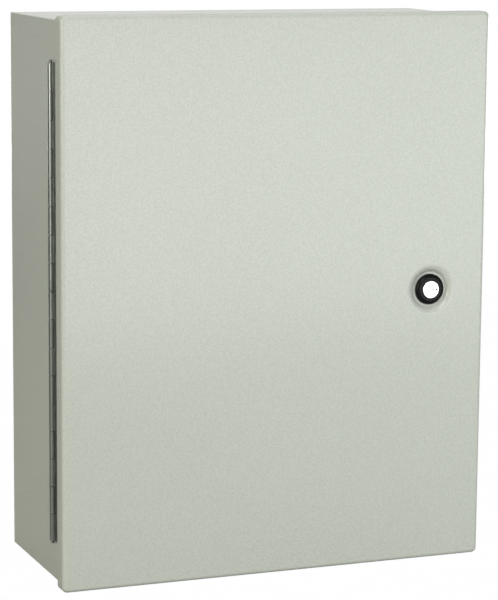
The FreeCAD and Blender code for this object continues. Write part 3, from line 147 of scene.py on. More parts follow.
class Nodes:
    """A node tree being made, for a material or for the surround."""

    def __init__(self, tree: bpy.types.NodeTree) -> None:
        """Keeps the tree, and empties it."""
        self.tree = tree
        self.tree.nodes.clear()

    def node(self, kind: str, settings: dict | None = None, inputs: dict | None = None) -> bpy.types.Node:
        """Adds a node.

        Args:
            kind: The node's type.
            settings: Its own properties, set before its sockets.
            inputs: Values or links for its sockets, by name or place.

        Returns:
            The node.
        """
        node = self.tree.nodes.new(kind)
        for name, value in (settings or {}).items():
            setattr(node, name, value)
        for key, value in (inputs or {}).items():
            self.feed(node.inputs[key], value)
        return node

    def feed(self, socket: bpy.types.NodeSocket, value: object) -> None:
        """Links something to an input, or sets the input's own value.

        Args:
            socket: The input.
            value: A wire or an output to link, or else a plain value.
        """
        source = value.socket if isinstance(value, Wire) else value
        if isinstance(source, bpy.types.NodeSocket):
            self.tree.links.new(source, socket)
        else:
            socket.default_value = source

    def two_faced(self, lit: bpy.types.Node, seen: bpy.types.Node) -> bpy.types.NodeSocket:
        """Joins two shaders, one that light meets and one that the camera sees.

        Args:
            lit: The shader that light meets.
            seen: The shader that the camera sees.

        Returns:
            The joined shader.
        """
        ray = self.node("ShaderNodeLightPath").outputs["Is Camera Ray"]
        both = self.node("ShaderNodeMixShader", {}, {0: ray, 1: lit.outputs[0], 2: seen.outputs[0]})
        return both.outputs[0]


class Surface(Nodes):
    """A material being made: a Principled shader and the nodes that drive it."""

    def __init__(self, name: str) -> None:
        """Starts a material with a bare Principled shader.

        Args:
            name: The material's name.
        """
        self.material = bpy.data.materials.new(name)
        self.material.use_nodes = True
        super().__init__(self.material.node_tree)
        self.shader = self.node("ShaderNodeBsdfPrincipled")
        self.output = self.node("ShaderNodeOutputMaterial", {}, {"Surface": self.shader.outputs["BSDF"]})

    def math(self, operation: str, *values: "Wire | float") -> Wire:
        """Adds a Math node.

        Args:
            operation: What it does.
            values: What it does it to.

        Returns:
            Its result.
        """
        node = self.node("ShaderNodeMath", {"operation": operation}, dict(enumerate(values)))
        return Wire(self, node.outputs[0])

    def place(self, scale: Point = (1.0, 1.0, 1.0), centre: Point = (0.0, 0.0, 0.0)) -> Wire:
        """Object coordinates, measured from a centre and stretched.

        Args:
            scale: Factor for each axis.
            centre: The point that becomes zero.

        Returns:
            The coordinates.
        """
        coordinates = self.node("ShaderNodeTexCoord").outputs["Object"]
        shift = tuple(-c * s for c, s in zip(centre, scale))
        inputs = {"Vector": coordinates, "Location": shift, "Scale": scale}
        return Wire(self, self.node("ShaderNodeMapping", {}, inputs).outputs["Vector"])

    def along(self, axis: Axis) -> Wire:
        """The object coordinate along one axis."""
        return Wire(self, self.node("ShaderNodeSeparateXYZ", {}, {0: self.place()}).outputs[axis.name])

    def noise(self, scale: float, detail: float = 2.0, vector: Wire | None = None) -> Wire:
        """Noise from 0 to 1.

        Args:
            scale: Features per metre.
            detail: Octaves.
            vector: Coordinates, or None for plain object coordinates.

        Returns:
            The noise.
        """
        inputs = {"Vector": vector or self.place(), "Scale": scale, "Detail": detail}
        return Wire(self, self.node("ShaderNodeTexNoise", {}, inputs).outputs[0])

    def cells(self, scale: float, feature: str = "F1", vector: Wire | None = None) -> Wire:
        """Distance from the middles of scattered cells.

        Args:
            scale: Cells per metre.
            feature: Which distance is taken.
            vector: Coordinates, or None for plain object coordinates.

        Returns:
            The distance, from 0 at a cell's middle.
        """
        inputs = {"Vector": vector or self.place(), "Scale": scale}
        node = self.node("ShaderNodeTexVoronoi", {"feature": feature}, inputs)
        return Wire(self, node.outputs["Distance"])

    def stripes(self, axis: Axis, pitch: float) -> Wire:
        """Sine stripes from 0 to 1 across one object axis.

        Args:
            axis: The axis across the stripes.
            pitch: Distance between stripes.

        Returns:
            The stripes.
        """
        return (self.along(axis) * (math.tau / pitch)).sine()

    def mix(self, factor: Wire, low: "Wire | Colour", high: "Wire | Colour") -> Wire:
        """Mixes two colours.

        Args:
            factor: How far the mix is from low to high.
            low: The colour at factor 0.
            high: The colour at factor 1.

        Returns:
            The mixed colour.
        """
        first, second = (end if isinstance(end, Wire) else (*end, 1.0) for end in (low, high))
        inputs = dict(zip(MIX_INPUTS, (factor, first, second)))
        return Wire(self, self.node("ShaderNodeMix", {"data_type": "RGBA"}, inputs).outputs[MIX_RESULT])

    def tones(self, factor: Wire, colour: Colour, dark: float, light: float = 1.0) -> Wire:
        """Varies the lightness of one colour.

        Args:
            factor: Where it is dark, 0, and light, 1.
            colour: The colour.
            dark: Factor on the colour where it is dark.
            light: Factor on the colour where it is light.

        Returns:
            The varied colour.
        """
        return self.mix(factor, shade(colour, dark), shade(colour, light))

    def bump(self, height: Wire, depth: float, under: Wire | None = None) -> Wire:
        """Normal bent by a height.

        Args:
            height: The height, from 0 to 1.
            depth: What a height of 1 stands for, in metres.
            under: A normal that this bump goes on top of.

        Returns:
            The normal.
        """
        inputs = {"Height": height, "Distance": depth}
        if under is not None:
            inputs["Normal"] = under
        return Wire(self, self.node("ShaderNodeBump", {}, inputs).outputs["Normal"])

    def finish(self, **sockets: object) -> bpy.types.Material:
        """Feeds the shader.

        Args:
            sockets: Values or links for its sockets, named with underscores for spaces.

        Returns:
            The material.
        """
        for name, value in sockets.items():
            self.feed(self.shader.inputs[name.replace("_", " ")], value)
        return self.material


def shade(colour: Colour, factor: float) -> Colour:
    """A colour made lighter or darker by a factor."""
    return tuple(min(1.0, c * factor) for c in colour)


# ---------------------------------------------------------------- finishes
@dataclass(frozen=True)
class PowderCoat:
    """Textured powder coat on sheet steel: fine orange peel, faint mottle, soft sheen.

    Scales are in features per metre, depths in metres, here and in the other finishes.
    """

    name: str
    colour: Colour
    peel_scale: float = 560.0
    peel_depth: float = 0.20 * MM
    grain_scale: float = 1300.0
    grain_depth: float = 0.08 * MM
    mottle_scale: float = 9.0
    roughness: float = 0.45

    def material(self) -> bpy.types.Material:
        """Makes the finish.

        Returns:
            Its material.
        """
        s = Surface(self.name)
        peel = s.noise(self.peel_scale, 1.0)
        grain = s.noise(self.grain_scale, 1.0)
        mottle = s.noise(self.mottle_scale, 3.0)
        tone = peel.step(0.3, 0.7) * 0.45 + grain.step(0.3, 0.7) * 0.35 + mottle * 0.2
        normal = s.bump(grain, self.grain_depth, s.bump(peel, self.peel_depth))
        return s.finish(Base_Color=s.tones(tone, self.colour, dark=0.88, light=1.10), Normal=normal,
                        Roughness=peel * 0.10 + self.roughness,
                        Specular_IOR_Level=0.35, Coat_Weight=0.6, Coat_Roughness=0.18)


@dataclass(frozen=True)
class BrushedMetal:
    """Plated or bare metal with fine drawn lines along one axis."""

    name: str
    colour: Colour
    roughness: float
    grain: Axis = Axis.Z
    depth: float = 0.02 * MM
    line_scale: float = 4200.0
    line_stretch: float = 0.06
    cloud_scale: float = 60.0

    def material(self) -> bpy.types.Material:
        """Makes the finish.

        Returns:
            Its material.
        """
        s = Surface(self.name)
        stretch = tuple(self.line_stretch if axis is self.grain else 1.0 for axis in Axis)
        lines = s.noise(self.line_scale, 2.0, s.place(stretch))
        cloud = s.noise(self.cloud_scale, 3.0)
        tone = (lines * 0.6 + cloud * 0.4).step(0.25, 0.75)
        return s.finish(Base_Color=s.tones(tone, self.colour, dark=0.82, light=1.08), Metallic=1.0,
                        Roughness=cloud * 0.14 + lines * 0.08 + (self.roughness - 0.11),
                        Normal=s.bump(lines, self.depth))


@dataclass(frozen=True)
class ZincPlate:
    """Bright zinc plating: cool grey with soft crystalline blooms."""

    name: str
    colour: Colour
    roughness: float
    bloom_scale: float = 70.0
    dust_scale: float = 900.0
    dust_depth: float = 0.02 * MM

    def material(self) -> bpy.types.Material:
        """Makes the finish.

        Returns:
            Its material.
        """
        s = Surface(self.name)
        bloom = s.cells(self.bloom_scale, "SMOOTH_F1")
        dust = s.noise(self.dust_scale, 3.0)
        tone = bloom.step(0.1, 0.9) * 0.6 + dust * 0.4
        return s.finish(Base_Color=s.tones(tone, self.colour, dark=0.84, light=1.1), Metallic=1.0,
                        Roughness=bloom * 0.16 + dust * 0.1 + (self.roughness - 0.1),
                        Normal=s.bump(dust, self.dust_depth))


@dataclass(frozen=True)
class TurnedChrome:
    """Bright chrome on a turned face: rings round the axis, hardly any wear."""

    name: str
    colour: Colour
    centre: Point
    roughness: float = 0.16
    ring_pitch: float = 0.35 * MM
    ring_depth: float = 0.004 * MM
    scuff_scale: float = 1500.0

    def material(self) -> bpy.types.Material:
        """Makes the finish.

        Returns:
            Its material.
        """
        s = Surface(self.name)
        flat = s.place(FACE_ON, self.centre)
        radius = Wire(s, s.node("ShaderNodeVectorMath", {"operation": "LENGTH"}, {0: flat}).outputs["Value"])
        rings = (radius * (math.tau / self.ring_pitch)).sine()
        scuff = s.noise(self.scuff_scale, 4.0)
        colour = s.mix(scuff.step(0.35, 0.75), self.colour, shade(self.colour, 0.86))
        return s.finish(Base_Color=colour, Metallic=1.0, Normal=s.bump(rings, self.ring_depth),
                        Roughness=scuff * 0.12 + rings * 0.05 + self.roughness)


@dataclass(frozen=True)
class Plastic:
    """Moulded plastic with a spark-eroded or polished skin."""

    name: str
    colour: Colour
    roughness: float
    grain: float = 1400.0
    depth: float = 0.03 * MM
    gloss: float = 0.5
    flow_scale: float = 45.0

    def material(self) -> bpy.types.Material:
        """Makes the finish.

        Returns:
            Its material.
        """
        s = Surface(self.name)
        skin = s.noise(self.grain, 3.0)
        flow = s.noise(self.flow_scale, 2.0)
        colour = s.tones(skin * 0.5 + flow * 0.5, self.colour, dark=0.9, light=1.12)
        return s.finish(Base_Color=colour, Roughness=skin * 0.12 + flow * 0.08 + (self.roughness - 0.1),
                        Normal=s.bump(skin, self.depth), Specular_IOR_Level=self.gloss)


@dataclass(frozen=True)
class Foam:
    """Closed-cell sealing foam: matt, with fine open pores."""

    name: str
    colour: Colour
    pore_scale: float = 1600.0
    pore_depth: float = 0.25 * MM
    lump_scale: float = 260.0
    lump_depth: float = 0.3 * MM

    def material(self) -> bpy.types.Material:
        """Makes the finish.

        Returns:
            Its material.
        """
        s = Surface(self.name)
        pores = s.cells(self.pore_scale)
        lumps = s.noise(self.lump_scale, 2.0)
        normal = s.bump(pores, self.pore_depth, s.bump(lumps, self.lump_depth))
        return s.finish(Base_Color=s.tones(pores.step(0.1, 0.7), self.colour, dark=0.4, light=1.3),
                        Roughness=0.92, Normal=normal)


class Routing(Enum):
    """Which way most of a board's copper tracks run: the axis along them, and the axis across them."""

    ACROSS = (Axis.X, Axis.Z)
    DOWN = (Axis.Z, Axis.X)


@dataclass(frozen=True)
class CircuitBoard:
    """Solder mask over copper tracks, with vias and a copper flood round them."""

    name: str
    mask: Colour
    copper: Colour
    routing: Routing = Routing.ACROSS
    track_pitch: float = 1.9 * MM
    zone_scale: float = 26.0
    flood_scale: float = 17.0
    flood_centre: Point = (0.3, 0.0, 0.7)
    via_scale: float = 190.0
    dust_scale: float = 700.0
    depth: float = 0.05 * MM

    def tracks(self, s: Surface) -> Wire:
        """Draws the copper under the mask: tracks one way, tracks the other way, and the flood.

        Args:
            s: The material being made.

        Returns:
            1 where there is copper.
        """
        along, across = self.routing.value
        zone = s.noise(self.zone_scale, 0.0, s.place(FACE_ON))
        most = s.stripes(across, self.track_pitch).step(0.80, 0.90) * zone.step(0.50, 0.52)
        rest = s.stripes(along, self.track_pitch).step(0.80, 0.90) * zone.step(0.44, 0.42)
        flood = s.noise(self.flood_scale, 0.0, s.place(FACE_ON, self.flood_centre)).step(0.56, 0.57)
        return most.larger(rest).larger(flood)

    def material(self) -> bpy.types.Material:
        """Makes the finish.

        Returns:
            Its material.
        """
        s = Surface(self.name)
        track = self.tracks(s)
        via = s.cells(self.via_scale, "F1", s.place(FACE_ON)).step(0.12, 0.09)
        dust = s.noise(self.dust_scale, 3.0)
        masked = s.mix(track * 0.8, self.mask, shade(self.mask, 1.9))
        return s.finish(Base_Color=s.mix(via, masked, self.copper), Metallic=via * 0.9,
                        Roughness=dust * 0.15 + 0.28, Normal=s.bump(track + dust * 0.15, self.depth))


@dataclass(frozen=True)
class Laminations:
    """Edges of stacked core sheets, varnished."""

    name: str
    colour: Colour
    sheet: float = 1.0 * MM
    depth: float = 0.12 * MM
    patch_scale: float = 160.0

    def material(self) -> bpy.types.Material:
        """Makes the finish.

        Returns:
            Its material.
        """
        s = Surface(self.name)
        sheets = s.stripes(Axis.Y, self.sheet)
        patch = s.noise(self.patch_scale, 4.0)
        tone = (sheets * 0.55 + patch * 0.45).step(0.2, 0.8)
        return s.finish(Base_Color=s.tones(tone, self.colour, dark=0.45, light=1.35), Metallic=0.55,
                        Roughness=patch * 0.25 + 0.35, Normal=s.bump(sheets, self.depth))


@dataclass(frozen=True)
class WoundTape:
    """Varnished tape wound round a coil, one turn over another."""

    name: str
    colour: Colour
    width: float = 7.0 * MM
    depth: float = 0.15 * MM
    weave_scale: float = 1300.0

    def material(self) -> bpy.types.Material:
        """Makes the finish.

        Returns:
            Its material.
        """
        s = Surface(self.name)
        wraps = s.stripes(Axis.Z, self.width)
        weave = s.noise(self.weave_scale, 2.0)
        return s.finish(Base_Color=s.tones(wraps.step(0.0, 0.25), self.colour, dark=0.55),
                        Roughness=weave * 0.2 + 0.3, Coat_Weight=0.3,
                        Normal=s.bump(wraps + weave * 0.2, self.depth))


@dataclass(frozen=True)
class Screen:
    """Liquid-crystal window: blank character cells over a soft backlight."""

    name: str
    back: Colour
    cell: Colour
    low: Point
    high: Point
    columns: int = 22
    rows: int = 5
    dots_across: int = 6
    dots_down: int = 9
    glow_scale: float = 18.0

    def material(self) -> bpy.types.Material:
        """Makes the finish.

        Returns:
            Its material.
        """
        s = Surface(self.name)
        column = (self.high[0] - self.low[0]) / self.columns
        row = (self.high[2] - self.low[2]) / self.rows
        cells = s.stripes(Axis.X, column).step(0.10, 0.16) * s.stripes(Axis.Z, row).step(0.10, 0.18)
        dots = s.stripes(Axis.X, column / self.dots_across) * s.stripes(Axis.Z, row / self.dots_down)
        glow = s.noise(self.glow_scale, 1.0)
        colour = s.mix(cells * (dots * 0.5 + 0.5) * 0.8, self.back, self.cell)
        return s.finish(Base_Color=colour, Roughness=glow * 0.03 + 0.06,
                        Emission_Color=s.tones(glow, self.back, dark=0.6), Emission_Strength=0.12,
                        Coat_Weight=1.0, Coat_Roughness=0.04)


@dataclass(frozen=True)
class Lens:
    """Tinted lamp lens, moulded with fine facets."""

    name: str
    colour: Colour
    glow: float
    facet_scale: float = 1500.0
    facet_depth: float = 0.05 * MM

    def material(self) -> bpy.types.Material:
        """Makes the finish.

        Returns:
            Its material.
        """
        s = Surface(self.name)
        facets = s.cells(self.facet_scale)
        colour = s.mix(facets, self.colour, shade(self.colour, 0.55))
        return s.finish(Base_Color=colour, Roughness=facets * 0.1 + 0.1, Emission_Color=colour,
                        Emission_Strength=self.glow, Normal=s.bump(facets, self.facet_depth), Coat_Weight=0.6)


@dataclass(frozen=True)
class ClearGlass:
    """Clear glass tube with faint drawn streaks."""

    name: str
    colour: Colour
    streak_scale: float = 500.0

    def material(self) -> bpy.types.Material:
        """Makes the finish.

        Returns:
            Its material.
        """
        s = Surface(self.name)
        streak = s.noise(self.streak_scale, 2.0)
        colour = s.mix(streak, self.colour, shade(self.colour, 0.9))
        return s.finish(Base_Color=colour, Roughness=streak * 0.04 + 0.03, Transmission_Weight=0.85, IOR=1.47)


@dataclass(frozen=True)
class WireSheath:
    """Extruded sheath of a lead: even colour, faint draw lines, dull gloss."""

    name: str
    colour: Colour
    skin_scale: float = 900.0
    skin_depth: float = 0.04 * MM
    wave_scale: float = 70.0

    def material(self) -> bpy.types.Material:
        """Makes the finish.

        Returns:
            Its material.
        """
        s = Surface(self.name)
        skin = s.noise(self.skin_scale, 3.0)
        wave = s.noise(self.wave_scale, 1.0)
        return s.finish(Base_Color=s.tones(skin * 0.4 + wave * 0.6, self.colour, dark=0.8, light=1.15),
                        Roughness=wave * 0.12 + 0.34, Normal=s.bump(skin, self.skin_depth))


# ---------------------------------------------------------------- mesh building
# Points closer than this are one point.
SAME_POINT = 0.002 * MM
# Steps round a rounded edge, and the angle past which an edge stays sharp.
EDGE_STEPS = 2
SHARP = math.radians(35.0)


class Shape:
    """One piece's mesh, gathered from bmesh shapes that are each made in place."""

    def __init__(self) -> None:
        """Starts empty."""
        self.mesh = bmesh.new()

    def add(self, part: bmesh.types.BMesh) -> None:
        """Takes a finished shape into the piece and frees it.

        Args:
            part: The shape.
        """
        carrier = bpy.data.meshes.new("carrier")
        part.to_mesh(carrier)
        part.free()
        self.mesh.from_mesh(carrier)
        bpy.data.meshes.remove(carrier)

    def block(self, low: Point, high: Point, bevel: float = 0.0) -> None:
        """Adds a box with rounded edges.

        Args:
            low: Lowest corner.
            high: Highest corner.
            bevel: Radius of every edge.
        """
        part = bmesh.new()
        size = [h - l for l, h in zip(low, high)]
        middle = [(h + l) / 2.0 for l, h in zip(low, high)]
        turn = Matrix.Translation(middle) @ Matrix.Diagonal((*size, 1.0))
        bmesh.ops.create_cube(part, size=1.0, matrix=turn)
        round_edges(part, bevel)
        self.add(part)

    def lathe(self, outline: Outline, centre: Point, steps: int, axis: Axis = Axis.Y) -> None:
        """Adds a turned shape.

        Args:
            outline: Radius and distance along the axis of each point.
            centre: Where the axis has distance zero.
            steps: Steps in a full turn.
            axis: The axis of turning.
        """
        part = bmesh.new()
        points = [part.verts.new(axis.point(*place)) for place in outline]
        lines = [part.edges.new(pair) for pair in zip(points, points[1:])]
        bmesh.ops.spin(part, geom=points + lines, cent=(0, 0, 0), axis=axis.value, dvec=(0, 0, 0),
                       angle=math.tau, steps=steps, use_merge=True, use_duplicate=False)
        bmesh.ops.remove_doubles(part, verts=part.verts, dist=SAME_POINT)
        bmesh.ops.recalc_face_normals(part, faces=part.faces)
        bmesh.ops.translate(part, verts=part.verts, vec=centre)
        self.add(part)

    def prism(self, outline: Outline, front: float, back: float, bevel: float = 0.0) -> None:
        """Adds a flat shape drawn in X and Z, with a thickness along Y.

        Args:
            outline: X and Z of each corner, in order.
            front: Y of the face towards the viewer.
            back: Y of the other face.
            bevel: Radius of every edge.
        """
        part = bmesh.new()
        corners = [part.verts.new((x, front, z)) for x, z in outline]
        face = part.faces.new(corners)
        grown = bmesh.ops.extrude_face_region(part, geom=[face])["geom"]
        moved = [item for item in grown if isinstance(item, bmesh.types.BMVert)]
        bmesh.ops.translate(part, verts=moved, vec=(0.0, back - front, 0.0))
        bmesh.ops.recalc_face_normals(part, faces=part.faces)
        round_edges(part, bevel)
        self.add(part)

    def piece(self, name: str, body: str, slot: str, material: bpy.types.Material) -> None:
        """Makes the object, which rides on a body.

        Args:
            name: The piece's name.
            body: The CAD body that it moves with.
            slot: The record's material slot; not used.
            material: Its material.
        """
        data = bpy.data.meshes.new(name)
        self.mesh.to_mesh(data)
        self.mesh.free()
        data.polygons.foreach_set("use_smooth", [True] * len(data.polygons))
        data.set_sharp_from_angle(angle=SHARP)
        data.materials.append(material)
        thing = bpy.data.objects.new(name, data)
        bpy.context.scene.collection.objects.link(thing)
        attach(thing, body)
        LOG.info("piece %s: %d faces on %s", name, len(data.polygons), body)


def round_edges(part: bmesh.types.BMesh, radius: float) -> None:
    """Rounds every edge of a shape, or leaves them sharp where the radius is zero.

    Args:
        part: The shape.
        radius: Radius of the edges.
    """
    if radius > 0.0:
        bmesh.ops.bevel(part, geom=list(part.edges), offset=radius, offset_type="OFFSET",
                        segments=EDGE_STEPS, profile=0.5, affect="EDGES", material=-1)


def solids_of(node: str) -> list[tuple[Vector, Vector]]:
    """Boxes of a CAD node's separate solids.

    Args:
        node: The node's name.

    Returns:
        Lowest and highest corner of each solid, from left to right, then upwards, then backwards.
    """
    part = bmesh.new()
    part.from_mesh(FRAME["nodes"][node].data)
    bmesh.ops.remove_doubles(part, verts=part.verts, dist=SAME_POINT / 2.0)
    left = set(part.verts)
    boxes = []
    while left:
        waiting = [left.pop()]
        solid = list(waiting)
        while waiting:
            vertex = waiting.pop()
            near = {edge.other_vert(vertex) for edge in vertex.link_edges} & left
            left -= near
            waiting.extend(near)
            solid.extend(near)
        rows = list(zip(*(member.co for member in solid)))
        boxes.append((Vector(min(row) for row in rows), Vector(max(row) for row in rows)))
    part.free()
    return sorted(boxes, key=lambda box: tuple(round(box[0][axis], 4) for axis in (0, 2, 1)))


def dress(material: bpy.types.Material, *nodes: str) -> None:
    """Gives CAD nodes a material in place of their plain one.

    Args:
        material: The material.
        nodes: Names of the nodes.
    """
    for node in nodes:
        thing = FRAME["nodes"][node]
        if not thing.material_slots:
            thing.data.materials.append(material)
        for slot in thing.material_slots:
            slot.material = material
        LOG.info("node %s: %s", node, material.name)


# ---------------------------------------------------------------- sub-assemblies
@dataclass
class Palette:
    """The finishes that several sub-assemblies share."""

    paint: bpy.types.Material
    white: bpy.types.Material
    zinc: bpy.types.Material
    tinned: bpy.types.Material
    black: bpy.types.Material
    nylon: bpy.types.Material

    @classmethod
    def mixed(cls) -> "Palette":
        """Makes the shared finishes.

        Returns:
            The palette.
        """
        return cls(
            paint=PowderCoat("grey_powder_coat", (0.640, 0.665, 0.598)).material(),
            white=PowderCoat("white_powder_coat", (0.80, 0.80, 0.77)).material(),
            zinc=ZincPlate("zinc_plate", (0.62, 0.64, 0.66), 0.34).material(),
            tinned=BrushedMetal("tinned_metal", (0.80, 0.79, 0.74), 0.26, Axis.X).material(),
            black=Plastic("black_moulding", (0.018, 0.018, 0.019), 0.48).material(),
            nylon=Plastic("black_nylon", (0.026, 0.026, 0.027), 0.55, 900.0, 0.05 * MM).material(),
        )


@dataclass
class Cabinet:
    """Steel body, its gland plate and bushings, and the plate that carries the equipment."""

    palette: Palette
    sheet: float = 1.5 * MM
    weld: float = 1.6 * MM
    ripple: float = 2.4 * MM

    def build(self) -> None:
        """Dresses the body and adds the weld beads inside its corners."""
        dress(self.palette.paint, "cabinet_body", "cabinet_lip", "gland_plate")
        dress(self.palette.nylon, "cable_bushings")
        dress(self.palette.white, "backplate")
        dress(self.palette.zinc, "panel_studs", "panel_nuts", "chassis_screws", "earth_stud_body")
        self.corner_welds()

    def corner_welds(self) -> None:
        """Adds a rippled bead along each of the four folded corners, inside the body."""
        low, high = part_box("cabinet_body")
        clear = 2.0 * self.sheet
        count = int((high.y - low.y - 2.0 * clear) / self.ripple)
        shape = Shape()
        for x in (low.x + self.sheet, high.x - self.sheet):
            for z in (low.z + self.sheet, high.z - self.sheet):
                for k in range(count):
                    shape.lathe(self.scallop(), (x, low.y + clear + k * self.ripple, z), 12)
        shape.piece("corner_welds", "cabinet", "cabinet_paint", self.palette.paint)

    def scallop(self) -> Outline:
        """Draws one ripple of the bead.

        Returns:
            Its outline, round the corner's own line.
        """
        narrow = self.weld * 0.85
        return [(0.0, 0.0), (narrow, 0.0), (self.weld, self.ripple * 0.5), (narrow, self.ripple),
                (0.0, self.ripple)]


@dataclass
class Door:
    """Folded door pan, its foam seal, its earth stud and the continuous hinge."""

    palette: Palette
    drawn: float = 0.03 * MM

    def build(self) -> None:
        """Dresses the door and the hinge."""
        dress(self.palette.paint, "door_panel")
        dress(Foam("black_foam", (0.035, 0.035, 0.037)).material(), "door_gasket")
        dress(self.palette.zinc, "earth_stud_door")
        leaf = BrushedMetal("hinge_steel", (0.40, 0.42, 0.40), 0.30, depth=self.drawn)
        dress(leaf.material(), "hinge_leaf_body", "hinge_leaf_door")
        # The pin's steel is made darker than the leaves so that the gaps between the knuckles look dark:
        # painted shade in the gaps.
        pin = BrushedMetal("pin_steel_painted_gap_shade", (0.22, 0.22, 0.20), 0.45, depth=self.drawn)
        dress(pin.material(), "hinge_pin")


@dataclass
class Latch:
    """Quarter-turn latch in its pressed recess.

    The arrow's sizes are distances from the driver's axis, and half its width.
    """

    palette: Palette
    tip: float = 6.9 * MM
    notch: float = 5.0 * MM
    tail: float = 4.3 * MM
    half_width: float = 1.3 * MM
    below: float = 0.10 * MM
    deep: float = 0.25 * MM

    def build(self) -> None:
        """Dresses the latch and fills the driver's arrow with dark paint."""
        pivot = next(joint for joint in FRAME["joints"] if joint["name"] == "latch_turn")
        centre = tuple(pivot["pos_m"])
        gloss = Plastic("gloss_black", (0.006, 0.006, 0.006), 0.30, 500.0, 0.01 * MM, gloss=0.16)
        dress(gloss.material(), "latch_housing")
        dress(TurnedChrome("bright_chrome", (0.90, 0.90, 0.89), centre).material(), "latch_driver")
        dress(self.palette.nylon, "latch_seal")
        dress(self.palette.zinc, "latch_nut", "latch_cam", "cam_screw")
        self.arrow(centre)

    def arrow(self, centre: Point) -> None:
        """Adds the dark fill of the arrow that shows which way the driver is turned.

        Args:
            centre: A point on the driver's axis.
        """
        paint = Plastic("matt_black", (0.006, 0.006, 0.006), 0.60, 900.0, 0.02 * MM, gloss=0.10)
        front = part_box("latch_driver")[0].y + self.below
        outline = [(self.tail, self.half_width), (self.tip, 0.0), (self.tail, -self.half_width),
                   (self.notch, 0.0)]
        shape = Shape()
        shape.prism([(centre[0] + x, centre[2] + z) for x, z in outline], front, front + self.deep, 0.03 * MM)
        shape.piece("driver_arrow_fill", "latch", "latch_black", paint.material())


class SmallPart(Enum):
    """A soldered part that lies flat on a board: half its length, half its width, and its height."""

    RESISTOR = (1.0 * MM, 0.62 * MM, 0.50 * MM)
    CERAMIC = (0.9 * MM, 0.60 * MM, 0.85 * MM)
    TANTALUM = (1.3 * MM, 0.95 * MM, 1.30 * MM)

    def add(self, body: Shape, ends: Shape, x: float, y: float, z: float) -> None:
        """Adds the part, with a metal cap at each end.

        Args:
            body: The piece that takes its body.
            ends: The piece that takes its caps.
            x: Its middle, across the board.
            y: The board's face.
            z: Its middle, up the board.
        """
        half_length, half_width, height = self.value
        inner = half_length * 0.7
        lip = 0.02 * MM
        body.block((x - inner, y - height, z - half_width), (x + inner, y, z + half_width))
        for near, far in ((-half_length, -inner), (inner, half_length)):
            ends.block((x + near, y - height - lip, z - half_width - lip),
                       (x + far, y, z + half_width + lip))


